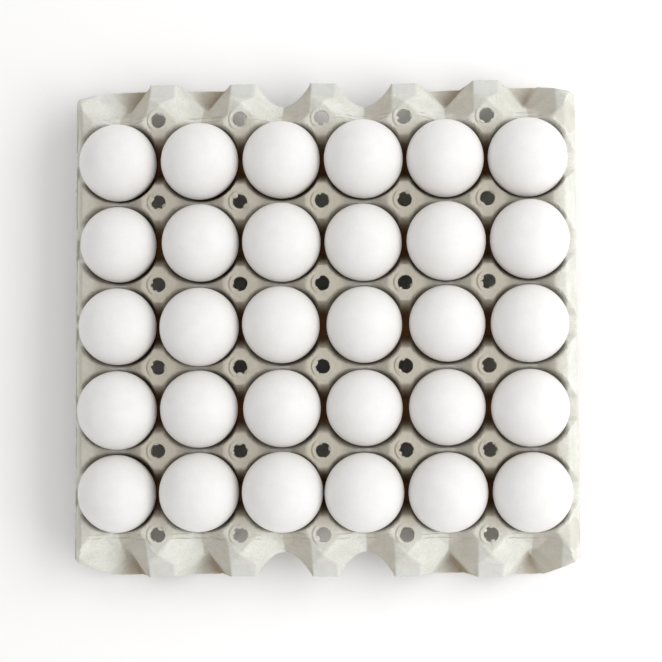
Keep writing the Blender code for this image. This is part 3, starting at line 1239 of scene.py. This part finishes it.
def grow(host: bpy.types.Object, group: bpy.types.NodeTree, values: dict[str, Any],
         name: str, move: Matrix | None = None) -> bpy.types.Object:
    """Run a geometry group on a host object and keep the result as a plain mesh piece.

    Args:
        host: The object that carries the modifier; it is removed afterwards.
        group: The geometry group.
        values: The group's inputs, by name.
        name: The piece's name.
        move: Where the finished mesh goes.

    Returns:
        The piece.
    """
    modifier = host.modifiers.new(group.name, "NODES")
    modifier.node_group = group
    for item in group.interface.items_tree:
        if item.in_out == "INPUT" and item.name in values:
            modifier[item.identifier] = values[item.name]
    graph = bpy.context.evaluated_depsgraph_get()
    mesh = bpy.data.meshes.new_from_object(host.evaluated_get(graph), depsgraph=graph)
    host.modifiers.remove(modifier)
    bpy.data.objects.remove(host)
    mesh.name = name
    if move is not None:
        mesh.transform(move)
    return stand(name, mesh)


def host_object(points: Array) -> bpy.types.Object:
    """A throwaway object with loose points, for a geometry group to work on."""
    mesh = bpy.data.meshes.new("host")
    mesh.from_pydata(points.tolist(), [], [])
    return stand("host", mesh)


# ---------------------------------------------------------------- finishes

@dataclass(frozen=True)
class Mottle:
    """Soft uneven patches, and specks that are finer.

    Each span gives where in the noise the marks start, and where they are full.
    """

    patches: Span = (0.36, 0.64)
    specks: Span = (0.42, 0.66)
    detail: float = 3.0
    roughness: float = 0.55

    def group(self) -> bpy.types.NodeTree:
        """The shader group, with one mask for the patches and one for the specks."""
        sketch = new_group("soft mottle", "ShaderNodeTree", {
            "Patch Size": ("NodeSocketFloat", 12.0 * MM),
            "Speck Size": ("NodeSocketFloat", 1.5 * MM),
            "Contrast": ("NodeSocketFloat", 1.0),
        }, {"Patches": "NodeSocketFloat", "Specks": "NodeSocketFloat"})
        given = sketch.add("NodeGroupInput").outputs
        place = sketch.place()
        masks = []
        for size, span in (("Patch Size", self.patches), ("Speck Size", self.specks)):
            scale = sketch.maths("DIVIDE", 1.0, given[size])
            share = sketch.spread(sketch.noise(place, scale, self.detail, self.roughness), *span)
            masks.append(sketch.maths("MULTIPLY", share, given["Contrast"]))
        sketch.add("NodeGroupOutput", {"Patches": masks[0], "Specks": masks[1]})
        return sketch.tree


@dataclass(frozen=True)
class Grain:
    """A fine felted grain: short fibres lying in several directions over a powdery bed.

    Each of the directions has its own turn and shift, so that no two lots of fibres agree.
    """

    turns: tuple[float, ...] = (0.3, 1.4, 2.5)
    shifts: tuple[float, ...] = (0.0, 0.31, 0.77)
    tilt: Span = (0.4, 0.3)
    slimness: float = 0.22
    strand_span: Span = (0.56, 0.68)
    strand_detail: float = 2.0
    bed_scale: float = 1.7
    bed_detail: float = 5.0
    bed_roughness: float = 0.65

    def group(self) -> bpy.types.NodeTree:
        """The shader group, with a height for bumps and a mask for the fibres."""
        sketch = new_group("felted grain", "ShaderNodeTree", {
            "Fibre Size": ("NodeSocketFloat", 1.2 * MM),
            "Fibre Share": ("NodeSocketFloat", 0.5),
        }, {"Height": "NodeSocketFloat", "Fibres": "NodeSocketFloat"})
        given = sketch.add("NodeGroupInput").outputs
        place = sketch.place()
        scale = sketch.maths("DIVIDE", 1.0, given["Fibre Size"])
        fibres = None
        for turn, shift in zip(self.turns, self.shifts):
            laid = sketch.add("ShaderNodeMapping", {
                "Vector": place, "Location": (shift, shift, shift),
                "Rotation": (*self.tilt, turn), "Scale": (self.slimness, 1.0, 1.0)}).outputs[0]
            strand = sketch.spread(sketch.noise(laid, scale, self.strand_detail),
                                   *self.strand_span)
            fibres = strand if fibres is None else sketch.maths("MAXIMUM", fibres, strand)
        bed = sketch.noise(place, sketch.maths("MULTIPLY", scale, self.bed_scale),
                           self.bed_detail, self.bed_roughness)
        height = sketch.maths("ADD", bed, sketch.maths("MULTIPLY", fibres, given["Fibre Share"]))
        sketch.add("NodeGroupOutput", {"Height": height, "Fibres": fibres})
        return sketch.tree


@dataclass(frozen=True)
class Effects:
    """The shader groups that the finishes share."""

    mottle: bpy.types.NodeTree
    grain: bpy.types.NodeTree


@dataclass(frozen=True)
class Finish:
    """A plain finish: its name, and constant values for the shader's inputs."""

    name: str
    constants: tuple[tuple[str, Any], ...]

    def blank(self) -> tuple[Sketch, bpy.types.Material]:
        """A new material with the constants set, and a sketch of its nodes."""
        material = bpy.data.materials.new(self.name)
        material.use_nodes = True
        sketch = Sketch(material.node_tree)
        sketch.fill(material.node_tree.nodes["Principled BSDF"], dict(self.constants))
        return sketch, material


@dataclass(frozen=True)
class TexturedFinish(Finish):
    """A mottled and grained finish; its kinds say how their colour comes about."""

    patch_size: float
    speck_size: float
    fibre_size: float
    fibre_share: float
    roughness: Span
    bump_strength: float
    bump_height: float

    def colour(self, sketch: Sketch, mottle: Any, grain: Any) -> bpy.types.NodeSocket:
        """The finish's colour from the outputs of the two shared groups."""
        raise NotImplementedError

    def make(self, effects: Effects) -> bpy.types.Material:
        """Build the material.

        Args:
            effects: The shared shader groups.

        Returns:
            The material.
        """
        sketch, material = self.blank()
        mottle = sketch.add("ShaderNodeGroup", node_tree=effects.mottle)
        sketch.fill(mottle, {"Patch Size": self.patch_size, "Speck Size": self.speck_size})
        grain = sketch.add("ShaderNodeGroup", node_tree=effects.grain)
        sketch.fill(grain, {"Fibre Size": self.fibre_size, "Fibre Share": self.fibre_share})
        bump = sketch.add("ShaderNodeBump", {
            "Strength": self.bump_strength, "Distance": self.bump_height,
            "Height": grain.outputs["Height"]})
        sketch.fill(material.node_tree.nodes["Principled BSDF"], {
            "Base Color": self.colour(sketch, mottle.outputs, grain.outputs),
            "Roughness": sketch.spread(mottle.outputs["Patches"], 0.0, 1.0, *self.roughness),
            "Normal": bump.outputs[0]})
        return material


@dataclass(frozen=True)
class PulpFinish(TexturedFinish):
    """Grey-green recycled pulp: mottled, felted with fibres, and with painted shade:
    browner in the gullies and between the eggs, darker on the posts among the eggs, and dark
    lines at the folds and along the -X rim.

    Tints are the largest shares of their colours. A line's width gives how far from it a mark
    starts, and how far from it the mark is full.
    """

    name: str = "moulded pulp"
    constants: tuple[tuple[str, Any], ...] = (("Specular IOR Level", 0.25),)
    patch_size: float = 14.0 * MM
    speck_size: float = 1.3 * MM
    fibre_size: float = 1.0 * MM
    fibre_share: float = 0.35
    roughness: Span = (0.86, 0.97)
    bump_strength: float = 0.42
    bump_height: float = 0.22 * MM

    light: Colour = (0.758, 0.760, 0.710, 1.0)
    dark: Colour = (0.664, 0.662, 0.598, 1.0)
    # Colour of the dark specks, and of the painted shade lines at the folds and the -X rim.
    speck_and_line_shade: Colour = (0.420, 0.395, 0.320, 1.0)
    speck_tint: float = 0.22
    fibre: Colour = (0.800, 0.795, 0.760, 1.0)
    fibre_tint: float = 0.22
    pressed: Colour = (0.630, 0.635, 0.605, 1.0)
    pressed_tint: float = 0.8
    # Painted shade on the posts among the eggs and on the under face.
    posts: Colour = (0.465, 0.428, 0.350, 1.0)
    post_shade_tint: float = 0.85
    # Painted shade: brown in the gullies and down the cups, deepest between the eggs.
    shade_brown: Colour = (0.320, 0.256, 0.176, 1.0)
    shade_brown_span: Span = (0.0, 0.5)
    deep_shade_brown: Colour = (0.240, 0.104, 0.038, 1.0)
    deep_shade_span: Span = (0.45, 1.0)

    # Painted shade lines at the folds, and a painted shadow line along the -X rim.
    waver: float = 1.6 * MM
    waver_scale: float = 60.0
    break_scale: float = 95.0
    fold_lines: Span = (120.9 * MM, 123.5 * MM)
    fold_width: Span = (0.45 * MM, 0.15 * MM)
    fold_breaks: Span = (0.42, 0.58)
    fold_tint: float = 0.85
    rim_line: float = 147.2 * MM
    rim_width: Span = (1.3 * MM, 0.5 * MM)
    rim_breaks: Span = (0.38, 0.52)

    def colour(self, sketch: Sketch, mottle: Any, grain: Any) -> bpy.types.NodeSocket:
        """The pulp's colour.

        Args:
            sketch: The material's nodes.
            mottle: Outputs of the mottle group.
            grain: Outputs of the grain group.

        Returns:
            The colour.
        """
        # The posts' tint, the dark lines and the two browns laid on below are painted shade.
        hollow = sketch.mask(Mask.HOLLOW)
        tints = [(sketch.maths("MULTIPLY", share, tint), colour) for share, tint, colour in (
            (mottle["Specks"], self.speck_tint, self.speck_and_line_shade),
            (grain["Fibres"], self.fibre_tint, self.fibre),
            (sketch.mask(Mask.PRESSED), self.pressed_tint, self.pressed),
            (sketch.mask(Mask.POSTS), self.post_shade_tint, self.posts))]
        tints += [(self.shade_lines(sketch), self.speck_and_line_shade),
                  (sketch.spread(hollow, *self.shade_brown_span), self.shade_brown),
                  (sketch.spread(hollow, *self.deep_shade_span), self.deep_shade_brown)]
        return sketch.layers(sketch.blend(mottle["Patches"], self.light, self.dark), tints)

    def shade_lines(self, sketch: Sketch) -> bpy.types.NodeSocket:
        """Broken dark lines of painted shade where the aprons fold away from the cups, and a
        painted shadow line along the -X rim.

        Args:
            sketch: The material's nodes.

        Returns:
            The marks' share.
        """
        place = sketch.place()
        parts = sketch.add("ShaderNodeSeparateXYZ", {"Vector": place}).outputs
        waver = sketch.noise(place, self.waver_scale, detail=2.0)
        breaks = sketch.noise(place, self.break_scale, detail=1.0)
        bend = sketch.spread(waver, 0.0, 1.0, -self.waver, self.waver)
        out = sketch.maths("ADD", sketch.maths("ABSOLUTE", parts["Y"]), bend)
        lines = sketch.maths("MAXIMUM", *(line(sketch, out, fold, self.fold_width)
                                          for fold in self.fold_lines))
        share = sketch.spread(breaks, *self.fold_breaks, 0.0, self.fold_tint)
        folds = sketch.maths("MULTIPLY", sketch.maths("MULTIPLY", lines, share),
                             sketch.mask(Mask.CREASED))
        side = sketch.maths("SUBTRACT", bend, parts["X"])
        rims = sketch.maths("MULTIPLY", line(sketch, side, self.rim_line, self.rim_width),
                            sketch.spread(breaks, *self.rim_breaks))
        return sketch.maths("MAXIMUM", folds, rims)


def line(sketch: Sketch, value: Any, place: float, width: Span) -> bpy.types.NodeSocket:
    """A line drawn where a value comes close to a place."""
    off = sketch.maths("ABSOLUTE", sketch.maths("SUBTRACT", value, place))
    return sketch.spread(off, *width)


@dataclass(frozen=True)
class ShellFinish(TexturedFinish):
    """White eggshell: faintly mottled, finely pored, with a low satin sheen."""

    name: str = "white eggshell"
    constants: tuple[tuple[str, Any], ...] = (
        ("Specular IOR Level", 0.12), ("Subsurface Weight", 1.0),
        ("Subsurface Radius", (1.0, 1.0, 1.0)), ("Subsurface Scale", 14.0 * MM),
        ("Sheen Weight", 0.20), ("Sheen Roughness", 0.55),
        ("Sheen Tint", (1.0, 0.86, 0.78, 1.0)))
    patch_size: float = 9.0 * MM
    speck_size: float = 0.9 * MM
    fibre_size: float = 0.5 * MM
    fibre_share: float = 0.0
    roughness: Span = (0.46, 0.58)
    bump_strength: float = 0.35
    bump_height: float = 0.05 * MM

    light: Colour = (0.780, 0.771, 0.763, 1.0)
    dark: Colour = (0.757, 0.742, 0.728, 1.0)
    chalk: Colour = (0.800, 0.795, 0.791, 1.0)
    chalk_tint: float = 0.4

    def colour(self, sketch: Sketch, mottle: Any, grain: Any) -> bpy.types.NodeSocket:
        """The shell's colour from the mottle group's outputs."""
        colour = sketch.blend(mottle["Patches"], self.light, self.dark)
        return sketch.blend(sketch.maths("MULTIPLY", mottle["Specks"], self.chalk_tint), colour,
                            self.chalk)


@dataclass(frozen=True)
class FloorFinish(Finish):
    """A plain pale floor."""

    name: str = "pale floor"
    constants: tuple[tuple[str, Any], ...] = (
        ("Base Color", (0.98, 0.975, 0.97, 1.0)), ("Roughness", 0.9), ("Specular IOR Level", 0.1))

    def make(self) -> bpy.types.Material:
        """Build the material."""
        return self.blank()[1]


# ---------------------------------------------------------------- eggs

class Grade(Enum):
    """Widest radius and length of each grade of egg."""

    S = (22.10 * MM, 57.0 * MM)
    M = (22.50 * MM, 58.0 * MM)
    L = (22.95 * MM, 59.0 * MM)
    X = (23.40 * MM, 60.0 * MM)

    @property
    def radius(self) -> float:
        """Radius of the egg where it is widest."""
        return self.value[0]

    @property
    def length(self) -> float:
        """Length of the egg from end to end."""
        return self.value[1]


@dataclass(frozen=True)
class Egg:
    """One egg: a turned profile, blunt end up, leaning a little in its cup."""

    name: str
    grade: Grade
    length: float
    stretch: float
    place: Vector
    turn: Matrix
    seed: float

    def build(self, group: bpy.types.NodeTree, load: "EggLoad",
              material: bpy.types.Material) -> bpy.types.Object:
        """Grow the egg's shell where it stands.

        Args:
            group: The geometry group that shapes a shell.
            load: What the eggs have in common.
            material: The shell's finish.

        Returns:
            The piece.
        """
        values = {"Girth": self.grade.radius / load.swell, "Length": self.length,
                  "Taper": load.taper, "Stretch": self.stretch, "Unevenness": load.unevenness,
                  "Seed": self.seed, "Divisions": load.divisions, "Shell": material}
        move = Matrix.Translation(self.place) @ self.turn.to_4x4()
        return grow(host_object(np.zeros((1, 3))), group, values, f"{self.name}_shell", move)


@dataclass(frozen=True)
class EggLoad:
    """The thirty eggs, uneven in size, lean and place."""

    form: TrayForm
    rows: tuple[str, ...] = ("mmmlml", "smlmll", "mlmssm", "lmmssm", "mlxlll")
    taper: float = 0.16
    lean: float = math.radians(3.0)
    wander: float = 0.45 * MM
    length_spread: float = 0.015
    stretch: float = 0.0075
    seed: int = 30
    seed_step: float = 3.0
    unevenness: float = 0.006
    lump_scale: float = 1.1
    divisions: int = 26
    sink: float = 0.6 * MM

    @property
    def swell(self) -> float:
        """How much the taper alone widens an egg."""
        t = self.taper
        turn = math.acos((math.sqrt(1.0 + 8.0 * t * t) - 1.0) / (4.0 * t))
        return math.sin(turn) * (1.0 + t * math.cos(turn))

    def eggs(self) -> list[Egg]:
        """Every egg of the tray, row by row from the back, standing where its solid stands."""
        chance = random.Random(self.seed)
        eggs = []
        for row, grades in enumerate(self.rows):
            for column, letter in enumerate(grades):
                name = f"egg_r{row + 1}_c{column + 1}"
                grade = Grade[letter.upper()]
                x, y = self.form.cup(column, row)
                share = chance.uniform(1.0 - self.length_spread, 1.0 + self.length_spread)
                stretch = chance.uniform(-self.stretch, self.stretch)
                x += chance.uniform(-self.wander, self.wander)
                y += chance.uniform(-self.wander, self.wander)
                lean_x, lean_y = (chance.uniform(-self.lean, self.lean) for _ in range(2))
                turn = Euler((lean_x, lean_y, chance.uniform(0.0, TURN))).to_matrix()
                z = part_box(name)[1].z - grade.length * share / 2 - self.sink
                eggs.append(Egg(name, grade, grade.length * share, stretch, Vector((x, y, z)),
                                turn, self.seed_step * len(eggs)))
        return eggs

    def group(self) -> bpy.types.NodeTree:
        """The geometry group that shapes one shell from a cube of faces."""
        sketch = new_group("egg shell", "GeometryNodeTree", {
            "Girth": ("NodeSocketFloat", Grade.M.radius),
            "Length": ("NodeSocketFloat", Grade.M.length),
            "Taper": ("NodeSocketFloat", self.taper),
            "Stretch": ("NodeSocketFloat", 0.0),
            "Unevenness": ("NodeSocketFloat", self.unevenness),
            "Seed": ("NodeSocketFloat", 0.0),
            "Divisions": ("NodeSocketInt", self.divisions),
            "Shell": ("NodeSocketMaterial", None),
        }, {"Geometry": "NodeSocketGeometry"})
        given = sketch.add("NodeGroupInput").outputs
        cube = sketch.add("GeometryNodeMeshCube", {
            "Size": (2.0, 2.0, 2.0), "Vertices X": given["Divisions"],
            "Vertices Y": given["Divisions"], "Vertices Z": given["Divisions"]})
        place = sketch.add("GeometryNodeInputPosition").outputs[0]
        evened = sketch.vector("TANGENT", sketch.vector("MULTIPLY", place, (TURN / 8,) * 3))
        unit = sketch.vector("NORMALIZE", evened)
        noise = sketch.add("ShaderNodeTexNoise", {
            "Vector": unit, "W": given["Seed"], "Scale": self.lump_scale, "Detail": 1.0},
            noise_dimensions="4D").outputs[0]
        uneven = sketch.maths("MULTIPLY", sketch.maths("SUBTRACT", noise, 0.5),
                              sketch.maths("MULTIPLY", given["Unevenness"], 2.0))
        along = sketch.add("ShaderNodeSeparateXYZ", {0: unit}).outputs[2]
        girth = sketch.maths("MULTIPLY", given["Girth"],
                             sketch.maths("MULTIPLY_ADD", along, given["Taper"], 1.0))
        wide, narrow = (sketch.maths("MULTIPLY", girth, sketch.maths(kind, 1.0, given["Stretch"]))
                        for kind in ("ADD", "SUBTRACT"))
        sizes = sketch.joined(wide, narrow, sketch.maths("MULTIPLY", given["Length"], 0.5))
        shell = sketch.scaled(sketch.vector("MULTIPLY", unit, sizes),
                              sketch.maths("ADD", 1.0, uneven))
        moved = sketch.add("GeometryNodeSetPosition", {"Geometry": cube.outputs["Mesh"],
                                                       "Position": shell})
        smooth = sketch.add("GeometryNodeSetShadeSmooth", {"Geometry": moved.outputs[0]})
        return sketch.end(smooth.outputs[0], given["Shell"])

    def build(self, material: bpy.types.Material) -> list[tuple[Egg, bpy.types.Object]]:
        """Grow all the eggs."""
        group = self.group()
        return [(egg, egg.build(group, self, material)) for egg in self.eggs()]


# ---------------------------------------------------------------- crumbs and flaps

@dataclass(frozen=True)
class PulpCrumbs:
    """Small lumps and burrs of pulp, strewn over the parts of the sheet that show."""

    form: TrayForm
    shade_and_pad_masks: ShadeAndPadMasks
    density: float = 42000.0
    smallest: float = 0.16 * MM
    largest: float = 0.55 * MM
    seed: int = 12
    slimmest: tuple[float, float, float] = (0.6, 0.6, 0.3)
    fullest: tuple[float, float, float] = (1.7, 1.0, 0.6)
    shape_seed: int = 5
    widest_turn: tuple[float, float, float] = (0.4, 0.4, TURN)
    turn_seed: int = 9
    open_radius: float = 20.5 * MM
    skin: float = 0.8 * MM

    def group(self) -> bpy.types.NodeTree:
        """The geometry group that strews lumps over a mesh."""
        sketch = new_group("pulp crumbs", "GeometryNodeTree", {
            "Geometry": ("NodeSocketGeometry", None),
            "Density": ("NodeSocketFloat", self.density),
            "Smallest": ("NodeSocketFloat", self.smallest),
            "Largest": ("NodeSocketFloat", self.largest),
            "Seed": ("NodeSocketInt", self.seed),
            "Pulp": ("NodeSocketMaterial", None),
        }, {"Geometry": "NodeSocketGeometry"})
        given = sketch.add("NodeGroupInput").outputs
        shown = sketch.add("GeometryNodeInputNamedAttribute", {"Name": "shown"},
                           data_type="FLOAT").outputs[0]
        points = sketch.add("GeometryNodeDistributePointsOnFaces", {
            "Mesh": given["Geometry"], "Seed": given["Seed"],
            "Density": sketch.maths("MULTIPLY", given["Density"], shown)})
        lump = sketch.add("GeometryNodeMeshIcoSphere", {"Radius": 1.0, "Subdivisions": 1})
        size = sketch.chance(given["Smallest"], given["Largest"], given["Seed"])
        shape = sketch.chance(self.slimmest, self.fullest, self.shape_seed)
        spin = sketch.chance((0.0, 0.0, 0.0), self.widest_turn, self.turn_seed)
        turned = sketch.add("FunctionNodeRotateRotation", {
            0: points.outputs["Rotation"], 1: spin}, rotation_space="LOCAL").outputs[0]
        laid = sketch.add("GeometryNodeInstanceOnPoints", {
            "Points": points.outputs["Points"], "Instance": lump.outputs["Mesh"],
            "Rotation": turned, "Scale": sketch.scaled(shape, size)})
        return sketch.end(laid.outputs[0], given["Pulp"])

    def build(self, sheet: bpy.types.Object, material: bpy.types.Material) -> bpy.types.Object:
        """Strew the lumps over the sheet's upper face.

        Args:
            sheet: The finished sheet.
            material: The pulp's finish.

        Returns:
            The piece.
        """
        mesh = sheet.data.copy()
        x, y, z = positions(mesh).T
        open_plan = (self.form.cup_radius(x, y) > self.open_radius) | (
            np.abs(y) > self.form.outer_posts_y)
        on_top = z > self.form.upper(x, y) - self.skin
        floats(mesh, "shown", (open_plan & on_top).astype(float))
        piece = grow(stand("host", mesh), self.group(), {
            "Density": self.density, "Smallest": self.smallest, "Largest": self.largest,
            "Seed": self.seed, "Pulp": material}, "pulp_crumbs")
        attributes = piece.data.attributes
        for name in ("shown", *(mask.value for mask in Mask)):
            if name in attributes:
                attributes.remove(attributes[name])
        self.shade_and_pad_masks.paint(piece.data)
        return piece


@dataclass(frozen=True)
class HoleFlaps:
    """Torn flaps of pulp left hanging inside the post holes."""

    form: TrayForm
    shade_and_pad_masks: ShadeAndPadMasks
    flaps: int = 6
    reach: float = 4.4 * MM
    drop: float = 1.0 * MM
    smallest: float = 0.4 * MM
    largest: float = 1.9 * MM
    seed: int = 4
    drop_seed: int = 21
    size_seed: int = 33
    slimmest: tuple[float, float, float] = (0.5, 0.7, 0.12)
    fullest: tuple[float, float, float] = (1.1, 1.3, 0.3)
    shape_seed: int = 34
    tips: Span = (0.2, 1.2)
    tip_seed: int = 35
    crumple_scale: float = 1.6

    def group(self) -> bpy.types.NodeTree:
        """The geometry group that hangs flaps round each point it is given."""
        sketch = new_group("torn flaps", "GeometryNodeTree", {
            "Geometry": ("NodeSocketGeometry", None),
            "Flaps": ("NodeSocketInt", self.flaps),
            "Reach": ("NodeSocketFloat", self.reach),
            "Drop": ("NodeSocketFloat", self.drop),
            "Smallest": ("NodeSocketFloat", self.smallest),
            "Largest": ("NodeSocketFloat", self.largest),
            "Seed": ("NodeSocketInt", self.seed),
            "Pulp": ("NodeSocketMaterial", None),
        }, {"Geometry": "NodeSocketGeometry"})
        given = sketch.add("NodeGroupInput").outputs
        points = sketch.add("GeometryNodeMeshToPoints", {"Mesh": given["Geometry"]})
        many = sketch.add("GeometryNodeDuplicateElements", {
            "Geometry": points.outputs[0], "Amount": given["Flaps"]}, domain="POINT")
        angle = sketch.chance(0.0, TURN, given["Seed"])
        lower = sketch.chance(sketch.maths("MULTIPLY", given["Drop"], -1.0), 0.0, self.drop_seed)
        aside = [sketch.maths("MULTIPLY", sketch.maths(way, angle), given["Reach"])
                 for way in ("COSINE", "SINE")]
        moved = sketch.add("GeometryNodeSetPosition", {
            "Geometry": many.outputs[0], "Offset": sketch.joined(*aside, lower)})
        flap = sketch.add("GeometryNodeMeshIcoSphere", {"Radius": 1.0, "Subdivisions": 2})
        crumple = sketch.add("ShaderNodeTexNoise", {"Scale": self.crumple_scale, "Detail": 2.0})
        jag = sketch.vector("SUBTRACT", crumple.outputs["Color"], (0.5, 0.5, 0.5))
        ragged = sketch.add("GeometryNodeSetPosition", {"Geometry": flap.outputs["Mesh"],
                                                        "Offset": jag})
        size = sketch.chance(given["Smallest"], given["Largest"], self.size_seed)
        shape = sketch.chance(self.slimmest, self.fullest, self.shape_seed)
        tip = sketch.chance(*self.tips, self.tip_seed)
        heading = sketch.joined(0.0, sketch.maths("MULTIPLY", tip, -1.0), angle)
        hung = sketch.add("GeometryNodeInstanceOnPoints", {
            "Points": moved.outputs[0], "Instance": ragged.outputs[0], "Rotation": heading,
            "Scale": sketch.scaled(shape, size)})
        return sketch.end(hung.outputs[0], given["Pulp"])

    def build(self, material: bpy.types.Material) -> bpy.types.Object:
        """Hang the flaps in every post hole.

        Args:
            material: The pulp's finish.

        Returns:
            The piece.
        """
        centres = np.array([(x, y, self.form.post_height) for x, y in self.form.holes()])
        piece = grow(host_object(centres), self.group(), {
            "Flaps": self.flaps, "Reach": self.reach, "Drop": self.drop,
            "Smallest": self.smallest, "Largest": self.largest, "Seed": self.seed,
            "Pulp": material}, "hole_flaps")
        self.shade_and_pad_masks.paint(piece.data)
        return piece


# ---------------------------------------------------------------- the room

@dataclass(frozen=True)
class Studio:
    """A pale floor, one large soft lamp on the right, an even fill and the camera."""

    camera_place: tuple[float, float, float] = (0.0642, -0.0708, 1.0448)
    camera_turn: tuple[float, float, float] = (3.80, 3.40, -0.29)
    lens: float = 94.6
    sensor: float = 36.0
    nearest: float = 0.01
    floor_reach: float = 4.0
    floor_angle: float = math.radians(30.0)
    lamp_heading: tuple[float, float, float] = (0.68, 0.0, 0.73)
    lamp_distance: float = 1.15
    lamp_length: float = 1.9
    lamp_width: float = 0.6
    lamp_power: float = 10.0
    fill: Colour = (1.0, 1.0, 1.0, 1.0)
    fill_strength: float = 0.715

    def floor(self, material: bpy.types.Material) -> bpy.types.Object:
        """The floor that the tray stands on."""
        signs = ((-1, -1), (1, -1), (1, 1), (-1, 1))
        corners = np.array([(x * self.floor_reach, y * self.floor_reach, 0.0) for x, y in signs])
        return mesh_object("floor", corners, [(0, 1, 2, 3)], material, self.floor_angle)

    def light(self) -> None:
        """The lamp and the even light of the room."""
        data = bpy.data.lights.new("key lamp", "AREA")
        data.shape = "RECTANGLE"
        data.size = self.lamp_width
        data.size_y = self.lamp_length
        data.energy = self.lamp_power
        way = Vector(self.lamp_heading).normalized()
        along = Vector((0.0, 1.0, 0.0))
        turn = Matrix((along.cross(way), along, way)).transposed()
        lamp = stand("key lamp", data)
        lamp.matrix_world = Matrix.Translation(way * self.lamp_distance) @ turn.to_4x4()
        world = bpy.data.worlds.new("room")
        world.use_nodes = True
        sky = world.node_tree.nodes["Background"]
        sky.inputs["Color"].default_value = self.fill
        sky.inputs["Strength"].default_value = self.fill_strength
        bpy.context.scene.world = world
        bpy.context.scene.view_settings.view_transform = "Standard"

    def camera(self) -> None:
        """The camera, nearly straight above the tray."""
        data = bpy.data.cameras.new("camera")
        data.sensor_width = self.sensor
        data.lens = self.lens
        data.clip_start = self.nearest
        camera = stand("camera", data)
        camera.location = self.camera_place
        camera.rotation_euler = [math.radians(angle) for angle in self.camera_turn]
        bpy.context.scene.camera = camera


# ---------------------------------------------------------------- the whole

def report(piece: bpy.types.Object) -> None:
    """Log a finished piece and how many faces it has."""
    LOG.info("%s: %d faces", piece.name, len(piece.data.polygons))


def main() -> None:
    """Dress the tray and its eggs, and set up the room."""
    logging.basicConfig(level=logging.INFO, format="%(name)s %(message)s")
    effects = Effects(Mottle().group(), Grain().group())
    pulp = PulpFinish().make(effects)
    shell = ShellFinish().make(effects)
    form = TrayForm()
    shade_and_pad_masks = ShadeAndPadMasks(form)

    sheet = PulpSheet(form, Outline(form), Relief(form), shade_and_pad_masks).build(pulp)
    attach(sheet, BODY)
    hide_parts("tray")
    report(sheet)

    for piece in (PulpCrumbs(form, shade_and_pad_masks).build(sheet, pulp),
                  HoleFlaps(form, shade_and_pad_masks).build(pulp)):
        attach(piece, BODY)
        report(piece)

    for egg, piece in EggLoad(form).build(shell):
        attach(piece, BODY)
        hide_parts(egg.name)
        report(piece)

    studio = Studio()
    studio.floor(FloorFinish().make())
    studio.light()
    studio.camera()


if __name__ == "__main__":
    main()
